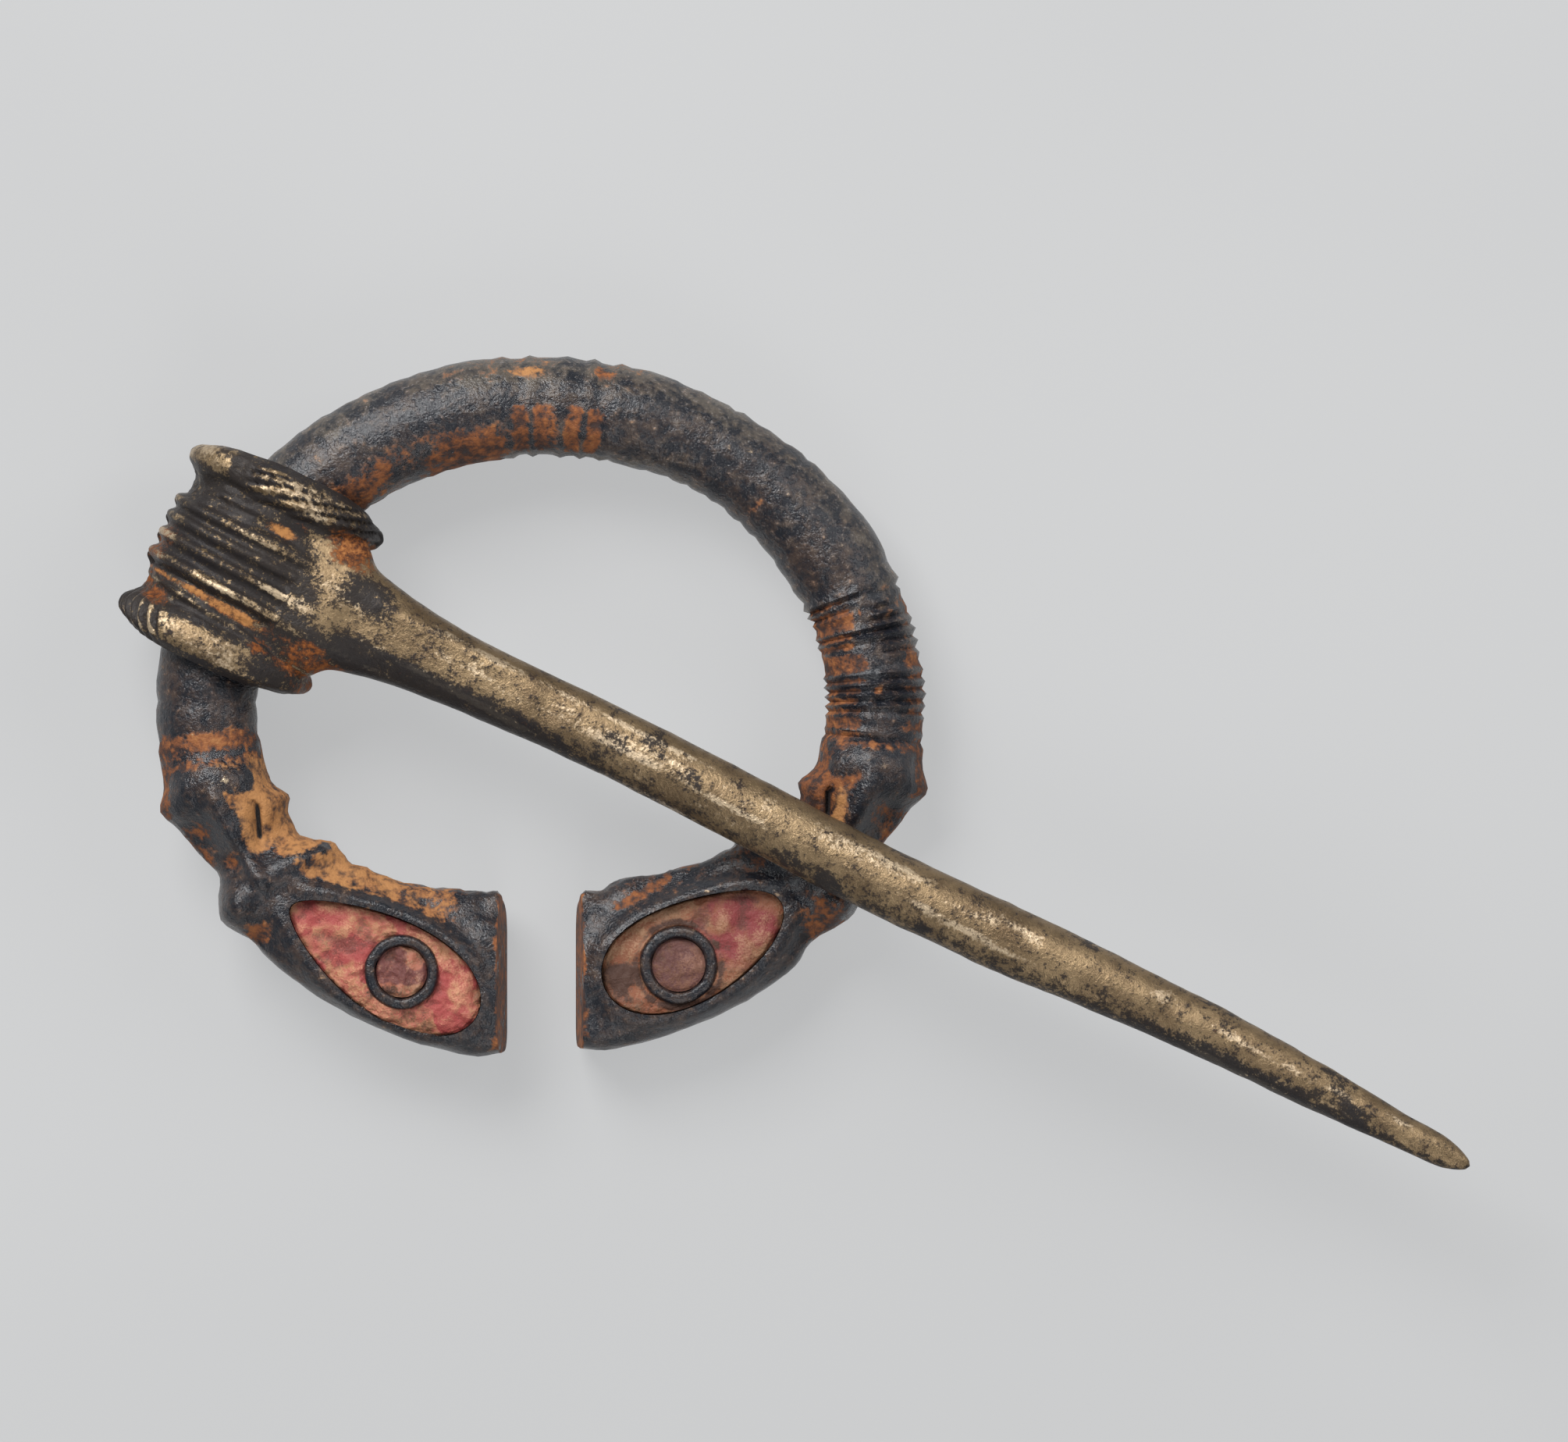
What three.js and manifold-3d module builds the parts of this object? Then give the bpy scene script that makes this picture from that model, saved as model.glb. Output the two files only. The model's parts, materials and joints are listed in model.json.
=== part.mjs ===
// Penannular brooch: a cast hoop with animal-head terminals and inlaid enamel, and the pin that rides on it.
// Millimetres, +Z up. The hoop is drawn face up about its own centre, then the brooch is laid on its back.
import * as THREE from "three";
import { mergeVertices } from "three/addons/utils/BufferGeometryUtils.js";
import Module from "manifold-3d";

const wasm = await Module();
wasm.setup();

// Hoop: a round bar bent to an oval that is a little wider than it is tall
const HOOP_WIDTH = 50.4;
const HOOP_HEIGHT = 46.0;
const BAR = 6.7;
const BAR_WORN = 0.33; // thinner there by this much on the radius
const BAR_WORN_AT = 54; // degrees round the hoop
const BAR_WORN_SPREAD = 18;
const RIB_PITCH = 0.75;
const RIB_DEPTH = 0.22;
const RIBS_RIGHT = 12;
const RIBS_LEFT = 7;
const RIBS_END = 84; // degrees from the middle of the gap

// Terminals: the distances along them are degrees from the middle of the gap
const GAP_BACK = 4.5;
const GAP_FRONT = 5.7;
const PLATE_FRONT = 3.05;
const PLATE_BACK = 2.95;
const PLATE_FLARE = 4.05; // how far the plate reaches inside the hoop's line
const PLATE_WIDEST = 14;
const PLATE_CORNER = 1.3; // rounding of the plate's inner corner at the gap
const PLATE_OUTER_CORNER = 0.5;
const PLATE_BEVEL = 0.75;
const WAIST = 63.5;
const WAIST_DIP = 0.75;
const WAIST_NARROW = 0.95;
const WAIST_BELOW = 2.6; // spread of the narrowing towards the ear
const WAIST_ABOVE = 5.5; // and towards the snout
const SNOUT = 73.5;
const SNOUT_RISE = 0.45;
const SNOUT_WIDTH = 2.4;
const SNOUT_KNOB = 0.8;
const EAR = 56;
const EAR_RISE = 0.4;
const EAR_WIDTH = 1.9;
const EAR_SPREAD = 2.3;
const EAR_INSIDE = 0.5; // how far the inner ear stands out of the flank
const EYE = 68.3;
const EYE_DEPTH = 0.6;
const CREASE = 81;
const CREASE_DEPTH = 0.35;

// Enamel: one almond cell on each terminal, with a reserved ring of metal round a disc of enamel
const CELL_DEPTH = 1.1;
const ENAMEL_SUNK = 0.12; // its face lies this far under the metal's
const ENAMEL_GAP = 0.08; // between enamel and metal, all round
const ALMOND_WIDTH = 6.5;
const LEFT_ALMOND_LENGTH = 14.1;
const LEFT_ALMOND_INSET = 0.49; // of its middle, inside the hoop's centreline
const LEFT_RING_OUTER = 4.85;
const LEFT_RING_INNER = 3.4;
const LEFT_RING_ALONG = 1.336427; // its middle, from the almond's, towards the gap
const LEFT_RING_ACROSS = 0.160217;
const LEFT_EAR = 0.62;
const LEFT_EDGE = 0.15; // the plate's outer edge, beyond the bar's line
const LEFT_FLANK = 0.25; // swell of the plate's inner edge
const RIGHT_ALMOND_LENGTH = 12.8;
const RIGHT_ALMOND_INSET = 1.31;
const RIGHT_RING_OUTER = 5.1;
const RIGHT_RING_INNER = 3.55;
const RIGHT_RING_ALONG = 1.340707;
const RIGHT_RING_ACROSS = -0.432981;
const RIGHT_SHIFT = 3.2; // the right head sits this many degrees further along than the left one
const RIGHT_EAR = 0.2;
const RIGHT_EDGE = -0.2;
const RIGHT_FLANK = 1.0;
const SIDES = {
  left: {
    sign: -1,
    shift: 0,
    ear: LEFT_EAR,
    edge: LEFT_EDGE,
    flank: LEFT_FLANK,
    almond: { at: 31.5, inset: LEFT_ALMOND_INSET, length: LEFT_ALMOND_LENGTH, turn: 28.8, swell: 0.21, nose: 0.18, bend: 0.4 },
    ring: { along: LEFT_RING_ALONG, across: LEFT_RING_ACROSS, outer: LEFT_RING_OUTER, inner: LEFT_RING_INNER },
  },
  right: {
    sign: 1,
    shift: RIGHT_SHIFT,
    ear: RIGHT_EAR,
    edge: RIGHT_EDGE,
    flank: RIGHT_FLANK,
    almond: { at: 32.4, inset: RIGHT_ALMOND_INSET, length: RIGHT_ALMOND_LENGTH, turn: 21, swell: 0.24, nose: -0.11, bend: 0.8 },
    ring: { along: RIGHT_RING_ALONG, across: RIGHT_RING_ACROSS, outer: RIGHT_RING_OUTER, inner: RIGHT_RING_INNER },
  },
};

// Pin: a barrel head round the hoop and a tapering shank that crosses the hoop's front
const HEAD_PLACE = 154.7; // degrees round the hoop
const HEAD_INSET = 0.45; // of its middle, inside the hoop's centreline
const PIN_TURN = -25.9; // degrees, seen from the front
const HEAD_LENGTH = 12.2;
const HEAD_BOW = 0.95; // how far the rims swell outwards in front
const HEAD_BOW_SKEW = 0.25;
const HEAD_WIDE = 6.5; // half widths at the ridges
const HEAD_TALL = 5.05;
const RIM_RISE = 0.83;
const RIM_THICK = 1.7;
const HOLLOW_DEPTH = 0.3;
const HOLLOW_AT = 3.5;
const RIDGES = [-2.03, -0.55, 0.85, 2.05];
const RIDGE_RISE = 0.38;
const BORE_CLEARANCE = 0.26;
const PIN_REACH = 88.2; // from the head's middle to the tip
const SHANK = 4.45;
const SHANK_DEPTH = 0.86; // of its width
const ROOT_INSIDE = 1; // the shank's solid starts here, in the barrel's front
const ROOT_AT = 4.9;
const ROOT_FLARE = 3.0;
const ROOT_FADE = 4.2;
const ROOT_WEB = 2.5; // extra width where the root spreads between the rims
const ROOT_HEIGHT = 2.3;
const TAPER_FROM = 54;
const TAPER = 0.061; // width lost to the millimetre
const POINT_FROM = 77;
const POINT_TAPER = 0.06; // lost as well from there on
const TIP_ROUND = 2.6;
const SHANK_SWAY = 0.22;
const SWAY_LENGTH = 43;
const REST_GAP = 0.15;

// Facets
const PLATE_START = 3; // degrees from the middle of the gap
const PLATE_END = 50;
const SECTION_FRONT = 12;
const SECTION_BACK = 5;
const HEAD_SIDES = 24;
const SHANK_SIDES = 12;
const ALMOND_SIDES = 30;
const DISC_SIDES = 24;

const radians = THREE.MathUtils.degToRad;
const degrees = THREE.MathUtils.radToDeg;
const { lerp, clamp, smoothstep } = THREE.MathUtils;
const smooth = (value, from, to) => (from < to ? smoothstep(value, from, to) : smoothstep(-value, -from, -to));
const bump = (value, at, width) => Math.exp(-(((value - at) / width) ** 2));

// Closed bodies
function solidFrom(positions, index) {
  const corner = (i) => new THREE.Vector3(...positions.slice(3 * index[i], 3 * index[i] + 3));
  let volume = 0;
  for (let i = 0; i < index.length; i += 3) volume += corner(i).dot(corner(i + 1).cross(corner(i + 2)));
  const outward = volume > 0 ? index : index.slice().reverse();
  return new wasm.Manifold(
    new wasm.Mesh({ numProp: 3, vertProperties: new Float32Array(positions), triVerts: new Uint32Array(outward) }),
  );
}

function solidOf(geometry) {
  geometry.deleteAttribute("normal");
  geometry.deleteAttribute("uv");
  const merged = mergeVertices(geometry, 1e-4);
  return solidFrom([...merged.attributes.position.array], [...merged.index.array]);
}

function loft(sections) {
  const sides = sections[0].length;
  const positions = sections.flat().flatMap((p) => [p.x, p.y, p.z]);
  const index = [];
  const last = (sections.length - 1) * sides;
  for (let row = 0; row < last; row += sides)
    for (let i = 0; i < sides; i++) {
      const j = (i + 1) % sides;
      index.push(row + i, row + j, row + sides + j, row + i, row + sides + j, row + sides + i);
    }
  for (const [first, flip] of [[0, true], [last, false]]) {
    const middle = positions.length / 3;
    const centre = new THREE.Vector3();
    for (const p of sections[first / sides]) centre.addScaledVector(p, 1 / sides);
    positions.push(centre.x, centre.y, centre.z);
    for (let i = 0; i < sides; i++) {
      const j = (i + 1) % sides;
      index.push(...(flip ? [middle, first + j, first + i] : [middle, first + i, first + j]));
    }
  }
  return solidFrom(positions, index);
}

function geometryOf(solid) {
  const mesh = solid.getMesh();
  const geometry = new THREE.BufferGeometry();
  geometry.setAttribute("position", new THREE.BufferAttribute(mesh.vertProperties, 3));
  geometry.setIndex(new THREE.BufferAttribute(mesh.triVerts, 1));
  return geometry;
}

function prism(outline, low, high) {
  const geometry = new THREE.ExtrudeGeometry(new THREE.Shape(outline), { depth: high - low, bevelEnabled: false });
  return solidOf(geometry.translate(0, 0, low));
}

// The hoop's outline: s is the angle from the middle of the gap, the same on both sides
const oval = (angle, a, b) => 1 / Math.hypot(Math.cos(angle) / a, Math.sin(angle) / b);
const fromGap = (degree) => Math.abs(((((degree - 270) % 360) + 540) % 360) - 180);
const sideOf = (degree) => (Math.cos(radians(degree)) < 0 ? SIDES.left : SIDES.right);
const barRadius = (degree) => BAR / 2 - BAR_WORN * bump(degree, BAR_WORN_AT, BAR_WORN_SPREAD);
const plateness = (s) => smooth(s, WAIST + 3, WAIST - 12);

// Where a place lies on its animal's head, measured as on the left one
function onHead(degree) {
  const s = fromGap(degree);
  return s - sideOf(degree).shift * smooth(s, EAR + 1, SNOUT - 3.5);
}

function centreline(degree) {
  return oval(radians(degree), (HOOP_WIDTH - BAR) / 2, (HOOP_HEIGHT - BAR) / 2);
}

function byCentreline(degree, inset) {
  const radius = centreline(degree) - inset;
  return new THREE.Vector2(radius * Math.cos(radians(degree)), radius * Math.sin(radians(degree)));
}

function outerRadius(degree) {
  const s = fromGap(degree);
  const side = sideOf(degree);
  const head = onHead(degree);
  const knobs = SNOUT_KNOB * bump(head, SNOUT + 1, SNOUT_WIDTH) + side.ear * bump(head, EAR, EAR_SPREAD);
  const waist = WAIST_NARROW * bump(head, WAIST - 1, head > WAIST - 1 ? WAIST_ABOVE : WAIST_BELOW);
  const corner = PLATE_OUTER_CORNER * smooth(s, PLATE_WIDEST - 3, PLATE_WIDEST - 9);
  return centreline(degree) + barRadius(degree) + side.edge * plateness(s) + knobs - waist - corner;
}

function innerRadius(degree) {
  const s = fromGap(degree);
  const along = clamp((s - PLATE_WIDEST) / (WAIST - 1.5 - PLATE_WIDEST), 0, 1);
  const corner = PLATE_CORNER * smooth(s, PLATE_WIDEST, PLATE_WIDEST - 6);
  const head = onHead(degree);
  const flank = sideOf(degree).flank * smooth(s, PLATE_WIDEST + 2, PLATE_WIDEST + 12) * smooth(s, WAIST, EAR - 1.5);
  const flare = PLATE_FLARE * (1 - along) ** 0.75 + flank - corner;
  const knobs = SNOUT_KNOB * bump(head, SNOUT - 3, SNOUT_WIDTH) + EAR_INSIDE * bump(head, EAR + 0.5, EAR_WIDTH);
  return centreline(degree) - barRadius(degree) - flare - knobs;
}

// The carving of a terminal's front: v runs from -1 on the inner edge to 1 on the outer edge
function carving(s, v) {
  const snout = SNOUT_RISE * bump(s, SNOUT, SNOUT_WIDTH);
  const ear = EAR_RISE * bump(s, EAR, EAR_WIDTH) * (1 - 0.6 * bump(v, 0.35, 0.4));
  const waist = WAIST_DIP * bump(s, WAIST, SNOUT_WIDTH);
  const eyes = EYE_DEPTH * bump(s, EYE, EAR_WIDTH) * (bump(v, 0.62, 0.28) + 0.7 * bump(v, -0.35, 0.22));
  const crease = CREASE_DEPTH * bump(s, CREASE, 1);
  const bevel = PLATE_BEVEL * smooth(v, -0.3, -1) * plateness(s);
  return snout + ear - waist - eyes - crease - bevel;
}

// The ribs cut across the bar beside each terminal, deepest next to it
function ribbing(degree) {
  const s = fromGap(degree);
  const count = sideOf(degree) === SIDES.right ? RIBS_RIGHT : RIBS_LEFT;
  const step = degrees(RIB_PITCH / centreline(degree));
  const turns = (s - RIBS_END) / step;
  if (turns < 0 || turns > count) return 0;
  const fade = smooth(turns, count, count * 0.5);
  return RIB_DEPTH * fade * (0.5 - 0.5 * Math.cos(2 * Math.PI * turns));
}

function frontHeight(degree, v, lowered = 0) {
  const s = fromGap(degree);
  const plate = plateness(s);
  const power = 2 + 1.7 * plate;
  const crown = lerp(barRadius(degree) - ribbing(degree), PLATE_FRONT, plate);
  const arch = (1 - Math.min(1, Math.abs(v)) ** power) ** (1 / power);
  return (crown + carving(onHead(degree), v) - lowered) * arch;
}

function backHeight(degree, v) {
  const plate = plateness(fromGap(degree));
  const power = 2 + 3 * plate;
  const depth = lerp(barRadius(degree) - ribbing(degree), PLATE_BACK * 1.04, plate);
  const arch = (1 - Math.min(1, Math.abs(v)) ** power) ** (1 / power);
  const floor = lerp(BAR, PLATE_BACK, smooth(plate, 0, 0.5));
  return -Math.min(depth * arch, floor);
}

function hoopSection(degree, lowered) {
  const rib = ribbing(degree);
  const inner = innerRadius(degree) + rib;
  const outer = outerRadius(degree) - rib;
  const angle = radians(degree);
  const place = (v, height) => {
    const radius = (inner + outer) / 2 + ((outer - inner) / 2) * v;
    return new THREE.Vector3(radius * Math.cos(angle), radius * Math.sin(angle), height);
  };
  const points = [];
  for (let i = 0; i <= SECTION_FRONT; i++) {
    const v = -Math.cos((Math.PI * i) / SECTION_FRONT);
    points.push(place(v, frontHeight(degree, v, lowered)));
  }
  for (let i = 1; i <= SECTION_BACK; i++) {
    const v = Math.cos((Math.PI * i) / (SECTION_BACK + 1));
    points.push(place(v, backHeight(degree, v)));
  }
  return points;
}

// Stations round the hoop: close together on the carved heads and two to a rib, wider on the plain bar
function hoopStations() {
  const stations = [];
  const ribsUp = (count) => (count * RIB_PITCH * 180) / (Math.PI * ((HOOP_WIDTH - BAR) / 2));
  const fill = (from, to, most) => {
    const steps = Math.max(1, Math.ceil((to - from) / most));
    for (let i = 0; i < steps; i++) stations.push(from + ((to - from) * i) / steps);
  };
  const rightPlain = -90 + RIBS_END + ribsUp(RIBS_RIGHT);
  const leftPlain = 270 - RIBS_END - ribsUp(RIBS_LEFT);
  fill(-90 + PLATE_START, -90 + PLATE_END, 3.2);
  fill(-90 + PLATE_END, -90 + RIBS_END, 1.7);
  fill(-90 + RIBS_END, rightPlain, ribsUp(0.5));
  fill(rightPlain, leftPlain, 6);
  fill(leftPlain, 270 - RIBS_END, ribsUp(0.5));
  fill(270 - RIBS_END, 270 - PLATE_END, 1.7);
  fill(270 - PLATE_END, 270 - PLATE_START, 3.2);
  stations.push(270 - PLATE_START);
  return stations;
}

const hoopLoft = (lowered) => loft(hoopStations().map((degree) => hoopSection(degree, lowered)));

// The open mouth between the terminals, wider at the front than at the back
function gapCutter() {
  const across = (height) => lerp(GAP_BACK, GAP_FRONT, (height + PLATE_BACK) / (PLATE_FRONT + PLATE_BACK)) / 2;
  const outline = [
    new THREE.Vector2(-across(-BAR), -BAR),
    new THREE.Vector2(across(-BAR), -BAR),
    new THREE.Vector2(across(BAR), BAR),
    new THREE.Vector2(-across(BAR), BAR),
  ];
  const geometry = new THREE.ExtrudeGeometry(new THREE.Shape(outline), { depth: HOOP_HEIGHT, bevelEnabled: false });
  return solidOf(geometry.rotateX(Math.PI / 2).translate(0, -BAR, 0));
}

// Enamel cells
function inCell({ sign, almond }, x, y) {
  const middle = byCentreline(270 + sign * almond.at, almond.inset);
  const turned = new THREE.Vector2(x, y).rotateAround(new THREE.Vector2(), -radians(almond.turn));
  return new THREE.Vector2(middle.x - sign * turned.x, middle.y + turned.y);
}

const ringMiddle = (side) => inCell(side, side.ring.along, side.ring.across);

function almondOutline(side, inset) {
  const { almond } = side;
  const points = [];
  for (let i = 0; i < ALMOND_SIDES; i++) {
    const t = (2 * Math.PI * i) / ALMOND_SIDES;
    const tail = (1 - Math.cos(t)) / 2;
    const x = (almond.length / 2 - inset) * Math.cos(t);
    const y = (ALMOND_WIDTH / 2 - inset) * Math.sin(t) * (1 + almond.swell * Math.cos(t) - almond.nose * tail ** 3);
    points.push(inCell(side, x, y + almond.bend * tail ** 3));
  }
  return points;
}

function disc(side, diameter, low, high) {
  const middle = ringMiddle(side);
  const geometry = new THREE.CylinderGeometry(diameter / 2, diameter / 2, high - low, DISC_SIDES);
  return solidOf(geometry.rotateX(Math.PI / 2).translate(middle.x, middle.y, (low + high) / 2));
}

function cellCutter(side) {
  const floor = PLATE_FRONT - CELL_DEPTH;
  const reserved = disc(side, side.ring.outer, 0, BAR).subtract(disc(side, side.ring.inner, -1, BAR + 1));
  return prism(almondOutline(side, 0), floor, BAR).subtract(reserved);
}

function enamelField(side, skin) {
  const floor = PLATE_FRONT - CELL_DEPTH + ENAMEL_GAP;
  const field = prism(almondOutline(side, ENAMEL_GAP), floor, BAR);
  return field.subtract(disc(side, side.ring.outer + 2 * ENAMEL_GAP, 0, BAR + 1)).intersect(skin);
}

function enamelDisc(side, skin) {
  const floor = PLATE_FRONT - CELL_DEPTH + ENAMEL_GAP;
  return disc(side, side.ring.inner - 2 * ENAMEL_GAP, floor, BAR).intersect(skin);
}

// Pin: x runs from the head along the shank, y along the head's bore, z to the front
const pinX = new THREE.Vector2(Math.cos(radians(PIN_TURN)), Math.sin(radians(PIN_TURN)));
const pinY = new THREE.Vector2(-pinX.y, pinX.x);
const headAt = byCentreline(HEAD_PLACE, HEAD_INSET);

function onHoop(x, y) {
  const px = headAt.x + x * pinX.x + y * pinY.x;
  const py = headAt.y + x * pinX.y + y * pinY.y;
  return { degree: degrees(Math.atan2(py, px)), radius: Math.hypot(px, py) };
}

function barOffset(y) {
  const { degree, radius } = onHoop(0, y);
  return centreline(degree) - radius;
}

// The bar bends and leans inside the bore, so a slice across it is wider than the bar
function boreRadius(y) {
  const lean = Math.atan(barOffset(y + 0.5) - barOffset(y - 0.5));
  return BAR / 2 / Math.cos(lean) + Math.abs(barOffset(y)) + BORE_CLEARANCE;
}

function headProfile(y) {
  const rims = RIM_RISE * bump(Math.abs(y), (HEAD_LENGTH - RIM_THICK) / 2, RIM_THICK / 2);
  const hollows = HOLLOW_DEPTH * bump(Math.abs(y), HOLLOW_AT, 0.85);
  const ridges = RIDGES.reduce((sum, at) => sum + RIDGE_RISE * bump(y, at, 0.24), -RIDGE_RISE);
  return rims - hollows + ridges;
}

function headStations() {
  const half = HEAD_LENGTH / 2;
  const edge = [0, 0.15, 0.5, 0.9].map((share) => half - share * RIM_THICK);
  const hollow = [HOLLOW_AT + 0.3, HOLLOW_AT - 0.3, HOLLOW_AT - 0.9];
  const ends = [...edge, ...hollow];
  const grooves = RIDGES.slice(1).map((at, i) => (at + RIDGES[i]) / 2);
  const ridges = RIDGES.flatMap((at) => [at - 0.22, at, at + 0.22]);
  return [...ends, ...ends.map((y) => -y), ...grooves, ...ridges].sort((a, b) => a - b);
}

// The rims are thicker in front, so both ends of the barrel bow outwards there
function bowed(y, t) {
  const share = clamp((Math.abs(y) - HEAD_LENGTH / 2 + RIM_THICK) / RIM_THICK, 0, 1);
  const skew = 1 + HEAD_BOW_SKEW * Math.sign(y) * Math.cos(t);
  return y + Math.sign(y) * HEAD_BOW * share * skew * Math.max(0, Math.sin(t));
}

function barrel() {
  const half = HEAD_LENGTH / 2;
  const sections = headStations().map((y) => {
    const profile = headProfile(y) - (Math.abs(y) > half - 0.01 ? RIM_RISE * 0.5 : 0);
    return Array.from({ length: HEAD_SIDES }, (_, i) => {
      const t = (2 * Math.PI * i) / HEAD_SIDES;
      const round = (value) => Math.sign(value) * Math.abs(value) ** 0.9;
      const x = (HEAD_WIDE + profile) * round(Math.cos(t));
      return new THREE.Vector3(x, bowed(y, t), (HEAD_TALL + profile * 0.8) * round(Math.sin(t)));
    });
  });
  return loft(sections);
}

function bore() {
  const reach = HEAD_LENGTH / 2 + 2 * HEAD_BOW;
  const steps = 8;
  const wall = Array.from({ length: steps + 1 }, (_, i) => {
    const y = -reach + (2 * reach * i) / steps;
    return new THREE.Vector2(Math.max(boreRadius(y), boreRadius(-y)), y);
  });
  const profile = [new THREE.Vector2(0, -reach), ...wall, new THREE.Vector2(0, reach)];
  return solidOf(new THREE.LatheGeometry(profile, HEAD_SIDES));
}

function shankWidth(x) {
  const flare = ROOT_FLARE * Math.exp(-Math.max(0, x - ROOT_AT - 2.4) / ROOT_FADE);
  const web = ROOT_WEB * smooth(x, ROOT_AT + 2.6, ROOT_AT + 1.1);
  const taper = TAPER * Math.max(0, x - TAPER_FROM) + POINT_TAPER * Math.max(0, x - POINT_FROM);
  const fromTip = 1 - clamp((PIN_REACH - x) / TIP_ROUND, 0, 1);
  return (SHANK + flare + web - taper) * Math.sqrt(1 - fromTip ** 2);
}

const shankDepth = (x) => Math.min(shankWidth(x) * SHANK_DEPTH, SHANK * SHANK_DEPTH + 0.13 * (shankWidth(x) - SHANK));

// How steeply the shank climbs so that it lies on the far side of the hoop
function shankSlope() {
  let slope = 0;
  for (let x = PIN_REACH * 0.3; x < PIN_REACH * 0.6; x += 0.4)
    for (let y = -SHANK / 2; y <= SHANK / 2; y += SHANK / 10) {
      const { degree, radius } = onHoop(x, y);
      const inner = innerRadius(degree);
      const outer = outerRadius(degree);
      if (radius < inner || radius > outer) continue;
      const top = frontHeight(degree, (2 * radius - inner - outer) / (outer - inner));
      slope = Math.max(slope, (top + REST_GAP + shankDepth(x) / 2 - ROOT_HEIGHT) / (x - ROOT_AT));
    }
  return slope;
}

const slope = shankSlope();

function shankSection(x) {
  const sway = SHANK_SWAY * Math.sin((2 * Math.PI * (x - 15)) / SWAY_LENGTH) * smooth(x, 8, 22);
  const height = ROOT_HEIGHT + slope * (x - ROOT_AT);
  return Array.from({ length: SHANK_SIDES }, (_, i) => {
    const t = (2 * Math.PI * (i + 0.5)) / SHANK_SIDES;
    return new THREE.Vector3(
      x,
      sway + (shankWidth(x) / 2) * Math.cos(t),
      height + (shankDepth(x) / 2) * Math.sin(t),
    );
  });
}

function shank() {
  const stations = [ROOT_INSIDE, (ROOT_INSIDE + ROOT_AT) / 2];
  const straight = ROOT_AT + 3 * ROOT_FADE;
  for (let x = ROOT_AT; x < ROOT_AT + 3; x += 0.6) stations.push(x);
  for (let x = ROOT_AT + 3; x < straight; x += ROOT_FADE * 0.3) stations.push(x);
  for (let x = straight; x < POINT_FROM - 2; x += SWAY_LENGTH / 8) stations.push(x);
  for (let x = POINT_FROM; x < PIN_REACH - TIP_ROUND * 1.2; x += 2.4) stations.push(x);
  for (const share of [1, 0.68, 0.4, 0.2, 0.08, 0.01]) stations.push(PIN_REACH - share * TIP_ROUND);
  return loft(stations.map(shankSection));
}

const bronze = new THREE.MeshStandardMaterial({ color: 0x3c3b40, roughness: 0.32, metalness: 0.75 });
const golden = new THREE.MeshStandardMaterial({ color: 0xa08050, roughness: 0.45, metalness: 0.7 });
const fieldEnamel = { left: 0xb5694a, right: 0xa85a35 };
const discEnamel = { left: 0xb0705a, right: 0x5a2c2c };
const enamel = (color) => new THREE.MeshStandardMaterial({ color, roughness: 0.65, metalness: 0 });

function piece(name, solid, material) {
  const mesh = new THREE.Mesh(geometryOf(solid), material);
  mesh.name = name;
  return mesh;
}

function locator(name, x, y, z, facing) {
  const marker = new THREE.Object3D();
  marker.name = name;
  marker.position.set(x, y, z);
  marker.quaternion.setFromUnitVectors(new THREE.Vector3(0, 0, 1), facing);
  return marker;
}

function makeHoop() {
  const group = new THREE.Group();
  const skin = hoopLoft(ENAMEL_SUNK);
  let hoop = hoopLoft(0).subtract(gapCutter());
  for (const [name, side] of Object.entries(SIDES)) {
    hoop = hoop.subtract(cellCutter(side));
    group.add(piece(`enamel_field_${name}`, enamelField(side, skin), enamel(fieldEnamel[name])));
    group.add(piece(`enamel_disc_${name}`, enamelDisc(side, skin), enamel(discEnamel[name])));
    const down = new THREE.Vector3(0, 0, -1);
    const middle = ringMiddle(side);
    group.add(locator(`back_${name}`, middle.x, middle.y, -PLATE_BACK, down));
  }
  group.add(piece("ring", hoop, bronze));
  return group;
}

function makePin() {
  const group = new THREE.Group();
  group.add(piece("pin", barrel().add(shank()).subtract(bore()), golden));
  group.add(locator("pin_axis", 0, 0, 0, new THREE.Vector3(0, -1, 0)));
  group.position.set(headAt.x, headAt.y, 0);
  group.rotation.z = radians(PIN_TURN);
  return group;
}

// Lying down: the plane that the brooch rests on is the highest one under all its points, at its centre of mass
function worldPoints(mesh) {
  const position = mesh.geometry.attributes.position;
  const points = [];
  for (let i = 0; i < position.count; i++)
    points.push(new THREE.Vector3().fromBufferAttribute(position, i).applyMatrix4(mesh.matrixWorld));
  return points;
}

function centreOfMass(meshes) {
  const sum = new THREE.Vector3();
  let volume = 0;
  for (const mesh of meshes) {
    const points = worldPoints(mesh);
    const index = mesh.geometry.index.array;
    for (let i = 0; i < index.length; i += 3) {
      const [a, b, c] = [points[index[i]], points[index[i + 1]], points[index[i + 2]]];
      const part = a.dot(b.clone().cross(c));
      sum.addScaledVector(a.clone().add(b).add(c), part / 4);
      volume += part;
    }
  }
  return sum.divideScalar(volume);
}

function climb(score, reach) {
  let low = -reach;
  let high = reach;
  for (let i = 0; i < 34; i++) {
    const third = (high - low) / 3;
    if (score(low + third) < score(high - third)) low += third;
    else high -= third;
  }
  return (low + high) / 2;
}

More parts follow.
